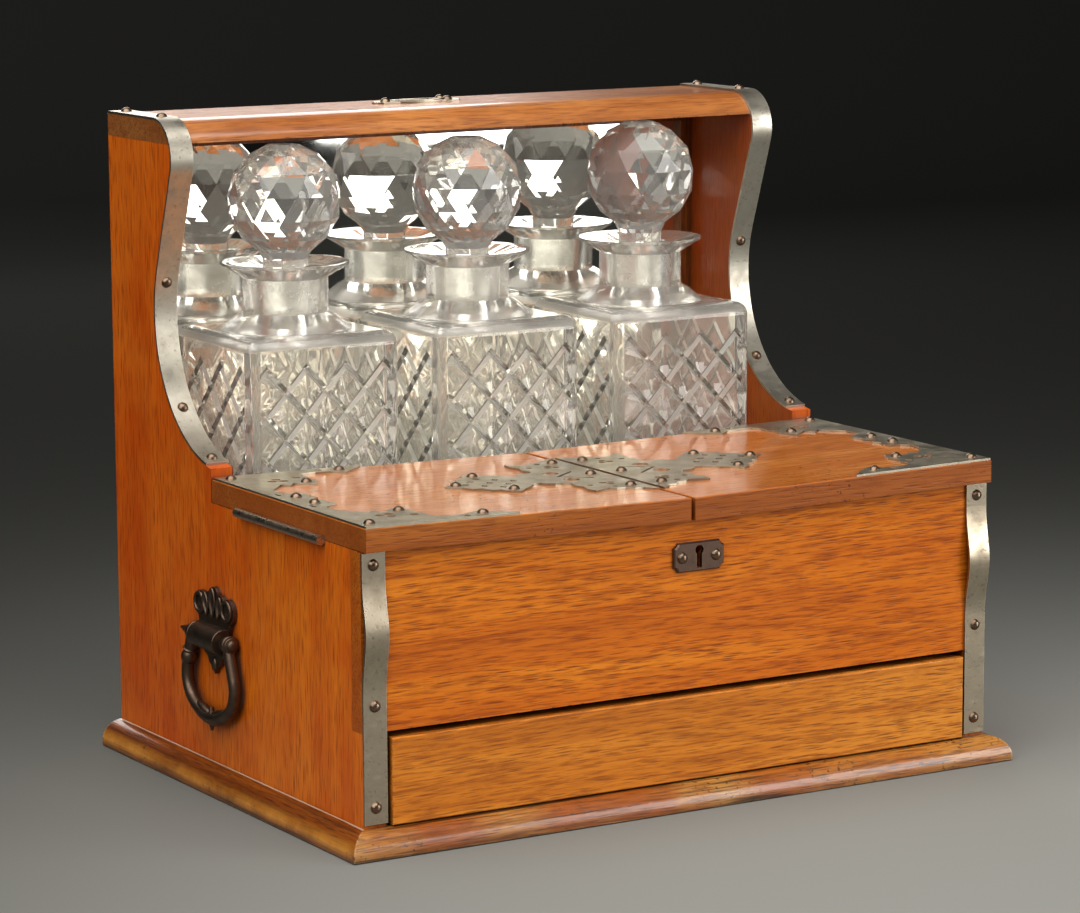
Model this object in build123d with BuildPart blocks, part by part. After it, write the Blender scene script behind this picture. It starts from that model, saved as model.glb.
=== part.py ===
from build123d import *
from math import acos, asin, atan2, cos, degrees, hypot, radians, sin
import os

# A three-bottle tantalus: an oak case with a mirror-backed bay for three square decanters, two
# lids that meet in the middle and swing up at the outer ends, and a drawer without a handle.
# Millimetres. X runs across the case, Y from front to back, Z up. The origin is on the floor,
# in the middle of the plinth. Depths are counted back from the front face of the case.

# case
case_depth = 267.4
side_thickness = 12.3
headroom = 2.4
top_thickness = 11.2
front_board_thickness = 10.0
front_board_bottom = 58.6
back_board_thickness = 6.0
edge_softening = 0.7

# plinth
plinth_overhang = 11.3
plinth_height = 13.2
plinth_lip = 2.8
plinth_rail_width = 28.0
base_board_thickness = 10.0

# curved front edge of the sides
nose_radius = 19.0
nose_centre_from_back = 53.6
sweep_radius_share = 0.414
sweep_centre_behind_lid = -9.6
sweep_centre_share = 0.4393

# lids
lid_thickness = 11.4
lid_front_overhang = 5.3
lid_gap_to_decanters = 14.7
lid_underside = 145.2
lid_sag = 2.4
lid_seam = 2.4
lid_seat_gap = 0.3
lid_notch_gap = 0.6

# hinges of the lids
barrel_offset = 2.4
barrel_radius = 2.3
barrel_front = 34.4
barrel_length = 88.5
knuckle_count = 5
knuckle_gap = 0.3
leaf_width = 11.0
leaf_thickness = 1.2
pin_radius = 1.1

# metal straps, mounts and their round-headed studs
strap_thickness = 1.3
corner_strap_gap_below_lid = 1.0
corner_strap_foot = 1.8
bow_depth = 3.4
bow_top = 133.0
bow_bottom = 77.0
upper_strap_end_angle = -77.5
mount_thickness = 1.0
mount_inset = 0.4
stud_radius = 2.9
stud_height = 2.1
stud_shank_radius = 0.8
stud_shank_length = 7.0
screw_head_radius = 1.9
screw_shank_radius = 0.9
screw_length = 8.0
metal_clearance = 0.05

# mirror
mirror_thickness = 3.0
slip_width = 7.0
slip_thickness = 4.0
slip_joint_gap = 0.1

# decanter floor and the partitions between the decanters
floor_thickness = 8.0
partition_height = 33.0
partition_thickness = 6.0

# drawer
drawer_front_thickness = 12.0
drawer_proud = 2.8
drawer_end_gap = 1.9
drawer_top_gap = 3.0
drawer_bottom_gap = 0.5
drawer_wall = 8.0
drawer_wall_drop = 5.6
drawer_bottom_thickness = 4.0
drawer_bottom_rise = 3.0
drawer_groove_depth = 4.0
drawer_back_gap = 14.0
runner_gap = 0.3
chip_length = 6.0
chip_height = 3.2
chip_rise = 26.5

# lock, its links and the keyhole
keyhole_x = 5.8
keyhole_height = 127.5
keyhole_radius = 2.4
keyhole_slot_width = 3.0
keyhole_slot_drop = 8.8
plate_width = 29.0
plate_height = 14.6
plate_thickness = 1.8
plate_notch = 2.4
plate_margin = 1.7
lock_width = 52.0
lock_bottom = 113.0
lock_depth = 10.0
lock_wall = 1.2
lock_top_gap = 0.8
link_offset = 6.25
link_thickness = 2.0
link_width = 6.0
link_drop = 8.5
link_window_width = 3.0
link_window_height = 4.0
link_tip = 2.0
link_plate = 9.0
bolt_finger = 2.0
bolt_finger_height = 3.0
bolt_finger_reach = 7.0
bolt_tip_gap = 0.9
bolt_bar_height = 3.0
bolt_bar_gap = 0.3
bolt_throw = 5.0

# peg that holds the drawer
peg_radius = 2.0
peg_knob_radius = 4.0
peg_knob_height = 8.0
peg_depth = 25.0
peg_travel = 9.0
peg_engagement = 8.0

# side handles
handle_depth = 150.0
handle_height = 78.0
handle_plate_thickness = 2.5
barrel_half_length = 15.0
handle_barrel_radius = 6.3
handle_axis_out = 4.6
bail_wire_radius = 3.2
bail_half_width = 26.5
bail_drop = 41.0
bail_side_radius = 15.0
bail_bottom_radius = 34.0
bail_knob_radius = 4.2
bail_knob_offset = 19.6
bail_tip = 33.0
bail_finial = 6.0
bail_finial_radius = 2.4
point_angle = 48.0
point_blunt = 0.6
trunnion_start = 6.0
trunnion_radius = 2.0

# decanters and stoppers
decanter_width = 87.0
decanter_gap = 20.5
decanter_gap_to_side = 16.7
decanter_gap_to_mirror = 1.9
decanter_corner_radius = 6.0
decanter_wall = 6.0
decanter_base = 10.0
shoulder_height = 154.5
shoulder_rounding = 7.0
neck_foot_rise = 8.5
neck_length = 17.5
neck_radius = 22.0
collar_radius = 33.0
collar_rise = 8.0
collar_thickness = 3.2
bore_top_radius = 12.4
bore_bottom_radius = 11.5
plug_length = 24.0
ball_radius = 29.5
ball_sides = 12
ball_latitudes = (-62, -41, -18, 6, 30, 53, 74)
stem_radius = 11.4
stem_lengths = {"left": 10.3, "middle": 9.2, "right": 12.2}

# worked out from the sizes above
case_front = -(case_depth - plinth_overhang) / 2
decanter_pitch = decanter_width + decanter_gap
inner_half = decanter_pitch + decanter_width / 2 + decanter_gap_to_side
half_width = inner_half + side_thickness
side_seat = lid_underside - lid_seat_gap
lid_top = lid_underside + lid_thickness
floor_top = front_board_bottom + floor_thickness
hinge_x = half_width + barrel_offset
lid_slope = asin(lid_sag / hinge_x)
mirror_front = case_depth - back_board_thickness - mirror_thickness
decanter_depth = mirror_front - decanter_gap_to_mirror - decanter_width / 2
partition_front = decanter_depth - decanter_width / 2
partition_top = floor_top + partition_height
lid_back = partition_front - lid_gap_to_decanters
neck_foot_height = shoulder_height + neck_foot_rise
neck_height = neck_foot_height + neck_length
collar_rim_height = neck_height + collar_rise
stopper_seat = neck_height + collar_thickness
ball_foot = ball_radius * cos(radians(ball_latitudes[0]))
ball_drop = -ball_radius * sin(radians(ball_latitudes[0]))
ball_rise = ball_radius * sin(radians(ball_latitudes[-1]))
ball_top = floor_top + stopper_seat + max(stem_lengths.values()) + ball_drop + ball_rise
top_underside = ball_top + headroom
case_height = top_underside + top_thickness
height_above_lid = case_height - lid_top
sweep_radius = height_above_lid * sweep_radius_share
hole_radius = stud_shank_radius + metal_clearance


def across(height):
    """Level plane at a height, its origin over the front face of the case."""
    return Plane(origin=(0, case_front, height))


def facing(depth):
    """Upright plane at a depth, looking out to the front."""
    return Plane(origin=(0, case_front + depth, 0), x_dir=(1, 0, 0), z_dir=(0, -1, 0))


def sideways(x):
    """Upright plane across the case at x: depth along it, height up, its normal to the right."""
    return Plane(origin=(x, case_front, 0), x_dir=(0, 1, 0), z_dir=(1, 0, 0))


def block(x_range, depth_range, height_range, mode=Mode.ADD):
    """Square-edged block between three pairs of limits."""
    middle = [sum(pair) / 2 for pair in (x_range, depth_range, height_range)]
    size = [abs(pair[1] - pair[0]) for pair in (x_range, depth_range, height_range)]
    with Locations((middle[0], case_front + middle[1], middle[2])):
        Box(*size, mode=mode)


def both_ways(x_values):
    """The same places on the left and on the right."""
    return [side * x for x in x_values for side in (-1, 1)]


# ---------------------------------------------------------------- fasteners

with BuildPart() as dome_stud:  # a round-headed pin, its head standing on the origin
    cap_radius = (stud_radius**2 + stud_height**2) / (2 * stud_height)
    with Locations((0, 0, stud_height - cap_radius)):
        Sphere(cap_radius)
    split(bisect_by=Plane.XY, keep=Keep.TOP)
    Cylinder(
        stud_shank_radius, stud_shank_length, align=(Align.CENTER, Align.CENTER, Align.MAX)
    )


def countersunk(grow):
    """Half outline of a countersunk screw, its flat head level with the origin."""
    return [
        (0, grow),
        (screw_head_radius + grow, grow),
        (screw_head_radius + grow, 0),
        (screw_shank_radius + grow, grow - leaf_thickness),
        (screw_shank_radius + grow, -screw_length - grow),
        (0, -screw_length - grow),
        (0, grow),
    ]


with BuildPart() as wood_screw:
    with BuildSketch(Plane.XZ):
        with BuildLine():
            Polyline(*countersunk(0)[2:6], (0, 0), countersunk(0)[2])
        make_face()
    revolve(axis=Axis.Z)

with BuildPart() as screw_hole:
    with BuildSketch(Plane.XZ):
        with BuildLine():
            Polyline(*countersunk(metal_clearance))
        make_face()
    revolve(axis=Axis.Z)


def stud_holes(places):
    with Locations(*places):
        Cylinder(hole_radius, 2 * stud_shank_length + 1, mode=Mode.SUBTRACT)


def screw_holes(places):
    with Locations(*places):
        add(screw_hole.part, mode=Mode.SUBTRACT)


# --------------------------------------------- curved front edge of the sides

nose_centre = (case_depth - nose_centre_from_back, case_height - nose_radius)
sweep_centre = (
    lid_back + sweep_centre_behind_lid,
    lid_top + height_above_lid * sweep_centre_share,
)
centre_run = nose_centre[0] - sweep_centre[0]
centre_rise = nose_centre[1] - sweep_centre[1]
tangent_angle = degrees(
    atan2(centre_rise, centre_run)
    - acos((nose_radius + sweep_radius) / hypot(centre_run, centre_rise))
)
lid_notch = lid_back + lid_notch_gap
side_foot_angle = -degrees(acos((lid_notch - sweep_centre[0]) / sweep_radius))


def point_on(centre, radius, angle):
    return (centre[0] + radius * cos(radians(angle)), centre[1] + radius * sin(radians(angle)))


def shoulder_edge(outward, end_angle, back):
    """The S-shaped edge, a distance outside the wood: over the top, round the nose and down."""
    nose = nose_radius + outward
    sweep_in = sweep_radius - outward
    over = Line((back, case_height + outward), (nose_centre[0], case_height + outward))
    CenterArc(nose_centre, nose, 90, 90 + tangent_angle)
    Line(
        point_on(nose_centre, nose, 180 + tangent_angle),
        point_on(sweep_centre, sweep_in, tangent_angle),
    )
    CenterArc(sweep_centre, sweep_in, tangent_angle, end_angle - tangent_angle)
    return over @ 0, point_on(sweep_centre, sweep_in, end_angle)


# ------------------------------------------------------------ places of studs

corner_strap_x = half_width - side_thickness / 2
corner_strap_top = lid_underside - corner_strap_gap_below_lid
corner_strap_bottom = plinth_height + corner_strap_foot
corner_stud_heights = (138.5, 71.5, 23.0)
corner_stud_places = [
    facing(-strap_thickness) * Pos(x, height)
    for x in both_ways([corner_strap_x])
    for height in corner_stud_heights
]

top_stud_depths = (case_depth - 9.4, nose_centre[0] + 2.7)
top_stud_places = [
    across(case_height + strap_thickness) * Pos(x, depth)
    for x in both_ways([corner_strap_x])
    for depth in top_stud_depths
]

sweep_stud_angles = (12.5, -41.0, -72.5)


def sweep_stud_place(x, angle):
    """On the hollow face of the strap, lifted so that the rim of the flat head just touches it."""
    hollow = sweep_radius - strap_thickness
    y, z = point_on(sweep_centre, (hollow**2 - stud_radius**2) ** 0.5, angle)
    outward = (0, -cos(radians(angle)), -sin(radians(angle)))
    return Location(Plane(origin=(x, case_front + y, z), x_dir=(1, 0, 0), z_dir=outward))


sweep_stud_places = [
    sweep_stud_place(x, angle)
    for x in both_ways([corner_strap_x])
    for angle in sweep_stud_angles
]

cartouche_centre = (-12.3, case_depth - 22.9)
cartouche_half_length = 26.5
cartouche_half_width = 8.0
cartouche_stud_places = [
    across(case_height + mount_thickness)
    * Pos(cartouche_centre[0] + x, cartouche_centre[1] + depth)
    for x, depth in ((-18.5, 0.0), (16.5, -4.0), (16.5, 4.0))
]

plate_bottom = keyhole_height - keyhole_slot_drop - plate_margin
plate_middle = plate_bottom + plate_height / 2
plate_stud_places = [
    facing(-plate_thickness) * Pos(keyhole_x + x, plate_middle) for x in (-9.8, 9.8)
]

case_stud_places = (
    corner_stud_places
    + top_stud_places
    + sweep_stud_places
    + cartouche_stud_places
    + plate_stud_places
)

barrel_back = barrel_front + barrel_length
leaf_outer = half_width
leaf_inner = half_width - leaf_width
leaf_screw_depths = [
    barrel_front + barrel_length * share for share in (1 / 6, 1 / 2, 5 / 6)
]
fixed_leaf_screw_places = [
    across(side_seat) * Pos(x, depth)
    for x in both_ways([half_width - leaf_width / 2])
    for depth in leaf_screw_depths
]

lock_back = front_board_thickness + lock_depth
seam_underside = lid_underside - lid_sag
lock_top = seam_underside - lock_top_gap
lock_flange = 6.0
lock_screw_places = [
    facing(lock_back - lock_depth + lock_wall)
    * Rot(0, 180, 0)
    * Pos(-(keyhole_x + x), height)
    for x in (-lock_width / 2 - lock_flange / 2, lock_width / 2 + lock_flange / 2)
    for height in (lock_bottom + lock_flange - 1, lock_top - lock_flange + 1)
]

# ---------------------------------------------------------------------- plinth


def plinth_profile():
    """Section of the moulding: flat below, an upright lip and a quarter-round up to the case."""
    with BuildLine() as outline:
        Polyline(
            (0, plinth_height),
            (-plinth_rail_width, plinth_height),
            (-plinth_rail_width, 0),
            (plinth_overhang - edge_softening, 0),
            (plinth_overhang, edge_softening),
            (plinth_overhang, plinth_lip),
        )
        EllipticalCenterArc(
            (0, plinth_lip), plinth_overhang, plinth_height - plinth_lip, 0, arc_size=90
        )
    return make_face(outline.edges(), mode=Mode.PRIVATE)


mitre = Plane(
    origin=(-half_width, case_front, 0), x_dir=(0, 0, 1), z_dir=(1, -1, 0)
)

with BuildPart() as plinth_front:
    with BuildSketch(
        Plane(origin=(0, case_front, 0), x_dir=(0, -1, 0), z_dir=(-1, 0, 0))
    ):
        add(plinth_profile())
    extrude(amount=half_width + plinth_overhang, both=True)
    split(bisect_by=mitre, keep=Keep.TOP)
    split(
        bisect_by=Plane(origin=(half_width, case_front, 0), x_dir=(0, 0, 1), z_dir=(-1, -1, 0)),
        keep=Keep.TOP,
    )

with BuildPart() as left_plinth_rail:
    with BuildSketch(
        Plane(origin=(-half_width, case_front + case_depth, 0), x_dir=(-1, 0, 0), z_dir=(0, 1, 0))
    ):
        add(plinth_profile())
    extrude(amount=-case_depth - plinth_overhang)
    split(bisect_by=mitre, keep=Keep.BOTTOM)

with BuildPart() as right_plinth_rail:
    mirror(left_plinth_rail.part, about=Plane.YZ)

with BuildPart() as base_board:
    block(
        (plinth_rail_width - half_width, half_width - plinth_rail_width),
        (plinth_rail_width, case_depth),
        (plinth_height - base_board_thickness, plinth_height),
    )

# ------------------------------------------------------------------------ case

with BuildPart() as left_side:
    with BuildSketch(sideways(-half_width)):
        with BuildLine():
            top_back, foot = shoulder_edge(0, side_foot_angle, case_depth)
            Polyline(
                foot,
                (lid_notch, side_seat),
                (front_board_thickness, side_seat),
                (front_board_thickness, front_board_bottom),
                (0, front_board_bottom),
                (0, plinth_height),
                (case_depth, plinth_height),
                top_back,
            )
        make_face()
    extrude(amount=side_thickness)
    split(bisect_by=Plane.XY.offset(top_underside), keep=Keep.BOTTOM)
    block(
        (-leaf_outer, -leaf_inner),
        (barrel_front, barrel_back),
        (side_seat - leaf_thickness, side_seat + 1),
        mode=Mode.SUBTRACT,
    )
    stud_holes(
        [place for place in case_stud_places if place.position.X < -inner_half]
    )
    screw_holes([place for place in fixed_leaf_screw_places if place.position.X < 0])

with BuildPart() as right_side:
    mirror(left_side.part, about=Plane.YZ)

with BuildPart() as top_board:
    with BuildSketch(sideways(-half_width)):
        with BuildLine():
            top_back, foot = shoulder_edge(0, side_foot_angle, case_depth)
            Polyline(foot, (case_depth, foot[1]), top_back)
        make_face()
    extrude(amount=2 * half_width)
    split(bisect_by=Plane.XY.offset(top_underside), keep=Keep.TOP)
    stud_holes(top_stud_places + cartouche_stud_places)

front_board_top = lid_underside - 0.4
board_hollow = front_board_top - (lid_sag - 0.1)


def keyhole(grow=0.0):
    """Round hole with a slot below it, cut where the current sketch plane's origin is."""
    with Locations((keyhole_x, keyhole_height)):
        Circle(keyhole_radius + grow, mode=Mode.SUBTRACT)
    with Locations((keyhole_x, keyhole_height - keyhole_slot_drop / 2)):
        Rectangle(keyhole_slot_width + 2 * grow, keyhole_slot_drop + 2 * grow, mode=Mode.SUBTRACT)


with BuildPart() as front_board:  # its top edge is worn hollow where the sagging lids meet
    with BuildSketch(facing(0)):
        with BuildLine():
            Polyline(
                (-half_width, front_board_bottom),
                (half_width, front_board_bottom),
                (half_width, front_board_top),
                (0, board_hollow),
                (-half_width, front_board_top),
                close=True,
            )
        make_face()
        keyhole()
    extrude(amount=-front_board_thickness)
    stud_holes(corner_stud_places + plate_stud_places)
    screw_holes(lock_screw_places)

with BuildPart() as back_board:
    block(
        (-inner_half, inner_half),
        (case_depth - back_board_thickness, case_depth),
        (plinth_height, top_underside),
    )

with BuildPart() as decanter_floor:
    block(
        (-inner_half, inner_half),
        (front_board_thickness, case_depth - back_board_thickness),
        (front_board_bottom, floor_top),
    )
    peg_x = inner_half - drawer_end_gap - drawer_wall / 2
    with Locations((peg_x, case_front + peg_depth, front_board_bottom)):
        Cylinder(peg_radius + metal_clearance, 4 * floor_thickness, mode=Mode.SUBTRACT)

with BuildPart() as left_partition:
    block(
        (
            -decanter_pitch / 2 - partition_thickness / 2,
            -decanter_pitch / 2 + partition_thickness / 2,
        ),
        (partition_front, mirror_front),
        (floor_top, partition_top),
    )

with BuildPart() as right_partition:
    mirror(left_partition.part, about=Plane.YZ)

with BuildPart() as mirror_glass:
    block(
        (-inner_half, inner_half),
        (mirror_front, mirror_front + mirror_thickness),
        (floor_top, top_underside),
    )

with BuildPart() as mirror_slips:  # two upright slips and one under the top hold the glass
    slip_depths = (mirror_front - slip_thickness, mirror_front)
    for side in (-1, 1):
        block(
            (side * (inner_half - slip_width), side * inner_half),
            slip_depths,
            (floor_top, top_underside),
        )
    top_slip_half = inner_half - slip_width - slip_joint_gap
    block((-top_slip_half, top_slip_half), slip_depths, (top_underside - slip_width, top_underside))

# ---------------------------------------------------------------------- drawer

drawer_half = inner_half - drawer_end_gap
drawer_bottom = plinth_height + drawer_bottom_gap
drawer_top = front_board_bottom - drawer_top_gap
drawer_front_back = drawer_front_thickness - drawer_proud
drawer_back = case_depth - back_board_thickness - drawer_back_gap
wall_bottom = plinth_height + runner_gap
wall_top = drawer_top - drawer_wall_drop
panel_bottom = wall_bottom + drawer_bottom_rise
panel_top = panel_bottom + drawer_bottom_thickness

with BuildPart() as drawer_front:
    block((-drawer_half, drawer_half), (-drawer_proud, drawer_front_back), (drawer_bottom, drawer_top))
    face_edges = drawer_front.faces().sort_by(Axis.Y)[0].edges()
    fillet(face_edges, edge_softening)
    block(
        (drawer_wall - drawer_half, drawer_half - drawer_wall),
        (drawer_front_back - drawer_groove_depth, drawer_front_back),
        (panel_bottom, panel_top),
        mode=Mode.SUBTRACT,
    )
    with BuildSketch(facing(-drawer_proud)):
        with BuildLine():
            chip_middle = drawer_bottom + chip_rise
            Polyline(
                (drawer_half + 1, chip_middle + chip_height / 2),
                (drawer_half - chip_length, chip_middle + chip_height / 4),
                (drawer_half - chip_length / 2, chip_middle - chip_height / 2),
                (drawer_half + 1, chip_middle - chip_height / 3),
                close=True,
            )
        make_face()
    extrude(amount=-edge_softening, mode=Mode.SUBTRACT)

with BuildPart() as left_drawer_side:
    block((-drawer_half, drawer_wall - drawer_half), (drawer_front_back, drawer_back), (wall_bottom, wall_top))
    block(
        (drawer_wall - drawer_half - drawer_groove_depth, drawer_wall - drawer_half),
        (drawer_front_back, drawer_back - drawer_wall),
        (panel_bottom, panel_top),
        mode=Mode.SUBTRACT,
    )

with BuildPart() as right_drawer_side:
    mirror(left_drawer_side.part, about=Plane.YZ)
    with Locations((peg_x, case_front + peg_depth, wall_top)):
        Cylinder(
            peg_radius + 6 * metal_clearance,
            2 * (peg_engagement + 2),
            mode=Mode.SUBTRACT,
        )

with BuildPart() as drawer_back_board:
    block(
        (drawer_wall - drawer_half, drawer_half - drawer_wall),
        (drawer_back - drawer_wall, drawer_back),
        (panel_bottom, wall_top),
    )

with BuildPart() as drawer_bottom_panel:
    tongue = drawer_wall - drawer_groove_depth
    block(
        (tongue - drawer_half, drawer_half - tongue),
        (drawer_front_back, drawer_back - drawer_wall),
        (panel_bottom, panel_top),
    )
    block(
        (drawer_wall - drawer_half, drawer_half - drawer_wall),
        (drawer_front_back - drawer_groove_depth, drawer_front_back),
        (panel_bottom, panel_top),
    )

with BuildPart() as drawer_peg:  # drawn up, clear of the drawer; pushed down it holds it shut
    peg_bottom = wall_top + peg_travel - peg_engagement
    peg_neck = floor_top + peg_travel + 1
    with Locations((peg_x, case_front + peg_depth, peg_bottom)):
        Cylinder(peg_radius, peg_neck - peg_bottom, align=(Align.CENTER, Align.CENTER, Align.MIN))
    with Locations((peg_x, case_front + peg_depth, peg_neck)):
        Cylinder(
            peg_knob_radius, peg_knob_height, align=(Align.CENTER, Align.CENTER, Align.MIN)
        )
    knob_rims = drawer_peg.edges().filter_by(GeomType.CIRCLE).group_by(Axis.Z)[-1]
    fillet(knob_rims, peg_knob_radius / 2)

# ---------------------------------------------------------------------- straps

with BuildPart() as left_corner_strap:  # flat at its ends, bowed forward between its upper studs
    with BuildSketch(sideways(-half_width)):
        with BuildLine():
            for shift in (0, -strap_thickness):
                Line((shift, corner_strap_top), (shift, bow_top))
                Spline(
                    (shift, bow_top),
                    (shift - bow_depth, (bow_top + bow_bottom) / 2),
                    (shift, bow_bottom),
                    tangents=((0, -1), (0, -1)),
                )
                Line((shift, bow_bottom), (shift, corner_strap_bottom))
            Line((0, corner_strap_top), (-strap_thickness, corner_strap_top))
            Line((0, corner_strap_bottom), (-strap_thickness, corner_strap_bottom))
        make_face()
    extrude(amount=side_thickness)
    stud_holes([place for place in corner_stud_places if place.position.X < 0])

with BuildPart() as right_corner_strap:
    mirror(left_corner_strap.part, about=Plane.YZ)

with BuildPart() as left_upper_strap:  # from the back of the top, round the nose, to the lid
    with BuildSketch(sideways(-half_width)):
        with BuildLine():
            inner_start, inner_end = shoulder_edge(0, upper_strap_end_angle, case_depth - 1)
            outer_start, outer_end = shoulder_edge(
                strap_thickness, upper_strap_end_angle, case_depth - 1
            )
            Line(inner_start, outer_start)
            Line(inner_end, outer_end)
        make_face()
    extrude(amount=side_thickness)
    stud_holes(
        [place for place in top_stud_places + sweep_stud_places if place.position.X < 0]
    )

with BuildPart() as right_upper_strap:
    mirror(left_upper_strap.part, about=Plane.YZ)

with BuildPart() as top_cartouche:
    with BuildSketch(across(case_height)):
        with Locations(cartouche_centre):
            Ellipse(cartouche_half_length * 0.72, cartouche_half_width)
            Rectangle(2 * cartouche_half_length * 0.86, cartouche_half_width * 1.5)
            with Locations((-cartouche_half_length * 0.86, 0), (cartouche_half_length * 0.86, 0)):
                Circle(cartouche_half_width * 0.42)
    extrude(amount=mount_thickness)
    with BuildSketch(across(case_height + mount_thickness)):
        with Locations(cartouche_centre):
            Ellipse(cartouche_half_length * 0.56, cartouche_half_width * 0.72)
            Ellipse(
                cartouche_half_length * 0.48, cartouche_half_width * 0.5, mode=Mode.SUBTRACT
            )
    extrude(amount=mount_thickness / 2)
    stud_holes(cartouche_stud_places)

with BuildPart() as escutcheon:
    with BuildSketch(facing(0)):
        with Locations((keyhole_x, plate_middle)):
            Rectangle(plate_width, plate_height)
            with GridLocations(plate_width, plate_height, 2, 2):
                Circle(plate_notch, mode=Mode.SUBTRACT)
        keyhole()
    extrude(amount=plate_thickness)
    outer_face = escutcheon.faces().sort_by(Axis.Y)[0]
    chamfer(outer_face.outer_wire().edges(), edge_softening)
    stud_holes(plate_stud_places)

with BuildPart() as case_studs:
    with Locations(*case_stud_places):
        add(dome_stud.part)

# ------------------------------------------------------------------------ lids

left_hinge_plane = Plane(
    origin=(-hinge_x, case_front, lid_underside),
    x_dir=(cos(lid_slope), 0, -sin(lid_slope)),
    z_dir=(sin(lid_slope), 0, cos(lid_slope)),
)
lid_end = hinge_x / cos(lid_slope) - lid_seam / 2
lid_length = lid_end - barrel_offset
lid_width = lid_back + lid_front_overhang
lid_middle = lid_back - lid_width / 2
lid_face = left_hinge_plane.offset(lid_thickness)


def lid_plate(x_range, depth_range):
    """Rectangle on the current lid plane, x counted from the hinge and y from the case front."""
    with Locations((sum(x_range) / 2, sum(depth_range) / 2)):
        Rectangle(x_range[1] - x_range[0], depth_range[1] - depth_range[0])


# where the lid's mount is fixed, counted in from the hinged edge and the nearer long edge
mount_stud_spots = ((6.5, 8.5), (67.0, 8.0), (35.5, 33.0), (10.5, 70.5))
mount_stud_places = [
    lid_face * Pos(barrel_offset + inward, lid_middle + side * (lid_width / 2 - along), mount_thickness)
    for inward, along in mount_stud_spots
    for side in (-1, 1)
]

# where the centre mount is fixed, counted from the seam and from the lid's middle line
centre_stud_spots = ((8.0, 37.5), (8.0, 0.0), (8.0, -37.5), (64.5, 20.7), (64.5, -20.7), (85.5, 0.0))
centre_stud_places = [
    lid_face * Pos(lid_end - inward, lid_middle + along, mount_thickness)
    for inward, along in centre_stud_spots
]
left_lid_stud_places = mount_stud_places + centre_stud_places

lid_leaf_screw_places = [
    left_hinge_plane
    * Pos(barrel_offset + leaf_width / 2, depth)
    * Rot(180, 0, 0)
    for depth in leaf_screw_depths
]

link_depth = front_board_thickness + lock_depth / 2
link_spot = hinge_x - link_offset

with BuildPart() as left_lid:
    with BuildSketch(left_hinge_plane):
        lid_plate((barrel_offset, lid_end), (-lid_front_overhang, lid_back))
    extrude(amount=lid_thickness)
    upper_edges = left_lid.faces().sort_by(Axis.Z)[-1].edges()
    fillet(upper_edges, edge_softening)
    with BuildSketch(left_hinge_plane):
        lid_plate((barrel_offset, barrel_offset + leaf_width), (barrel_front, barrel_back))
    extrude(amount=leaf_thickness, mode=Mode.SUBTRACT)
    with BuildSketch(left_hinge_plane):
        lid_plate(
            (link_spot - link_plate + link_offset / 2, lid_end),
            (link_depth - link_plate / 2, link_depth + link_plate / 2),
        )
    extrude(amount=leaf_thickness, mode=Mode.SUBTRACT)
    stud_holes(left_lid_stud_places)
    screw_holes(lid_leaf_screw_places)

with BuildPart() as right_lid:
    mirror(left_lid.part, about=Plane.YZ)

with BuildPart() as left_lid_studs:
    with Locations(*left_lid_stud_places):
        add(dome_stud.part)

with BuildPart() as right_lid_studs:
    mirror(left_lid_studs.part, about=Plane.YZ)

# outline of half a lid mount: from the corner along the long edge, and back round the openwork
mount_half_outline = [
    (83.0, 0.0),
    (79.0, 5.0),
    (73.0, 10.0),
    (67.0, 15.0),
    (61.0, 10.5),
    (53.0, 9.0),
    (45.0, 9.5),
    (42.0, 14.0),
    (42.5, 20.0),
    (40.0, 26.0),
    (42.0, 31.0),
    (37.0, 41.0),
    (32.0, 37.0),
    (28.0, 33.5),
    (24.0, 39.0),
    (20.0, 35.0),
    (15.5, 41.0),
    (10.0, 47.0),
    (9.5, 57.0),
    (13.0, 60.5),
    (18.0, 62.5),
    (19.5, 68.0),
    (17.0, 72.0),
    (19.5, 76.0),
    (14.0, 79.0),
]
trefoil_centre = (24.0, 24.0)
trefoil_spread = 3.3
trefoil_lobe = 2.5
crescent_centre = (36.5, 20.0)
crescent_radius = 2.4
eyelet_centre = (57.0, 5.0)
eyelet_radius = 1.8
bar_slot_centre = (5.0, 62.0)

with BuildPart() as left_lid_mount:
    with BuildSketch(lid_face):
        with Locations((barrel_offset, lid_middle)):
            with BuildSketch(mode=Mode.PRIVATE) as half_mount:
                with BuildLine():
                    Polyline(
                        (mount_inset, 0),
                        (mount_inset, mount_inset - lid_width / 2),
                        *[
                            (inward, max(along, mount_inset) - lid_width / 2)
                            for inward, along in mount_half_outline
                        ],
                        (12.0, 0),
                        close=True,
                    )
                make_face()
                with Locations((trefoil_centre[0], trefoil_centre[1] - lid_width / 2)):
                    with PolarLocations(trefoil_spread, 3, start_angle=45):
                        Circle(trefoil_lobe, mode=Mode.SUBTRACT)
                with Locations((crescent_centre[0], crescent_centre[1] - lid_width / 2)):
                    Circle(crescent_radius, mode=Mode.SUBTRACT)
                with Locations((eyelet_centre[0], eyelet_centre[1] - lid_width / 2)):
                    Circle(eyelet_radius, mode=Mode.SUBTRACT)
                with Locations((bar_slot_centre[0], bar_slot_centre[1] - lid_width / 2)):
                    SlotOverall(6.0, 2.0, rotation=90, mode=Mode.SUBTRACT)
            add(half_mount.sketch)
            add(mirror(half_mount.sketch, about=Plane.XZ, mode=Mode.PRIVATE))
    extrude(amount=mount_thickness)
    stud_holes(mount_stud_places)

with BuildPart() as right_lid_mount:
    mirror(left_lid_mount.part, about=Plane.YZ)

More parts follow.
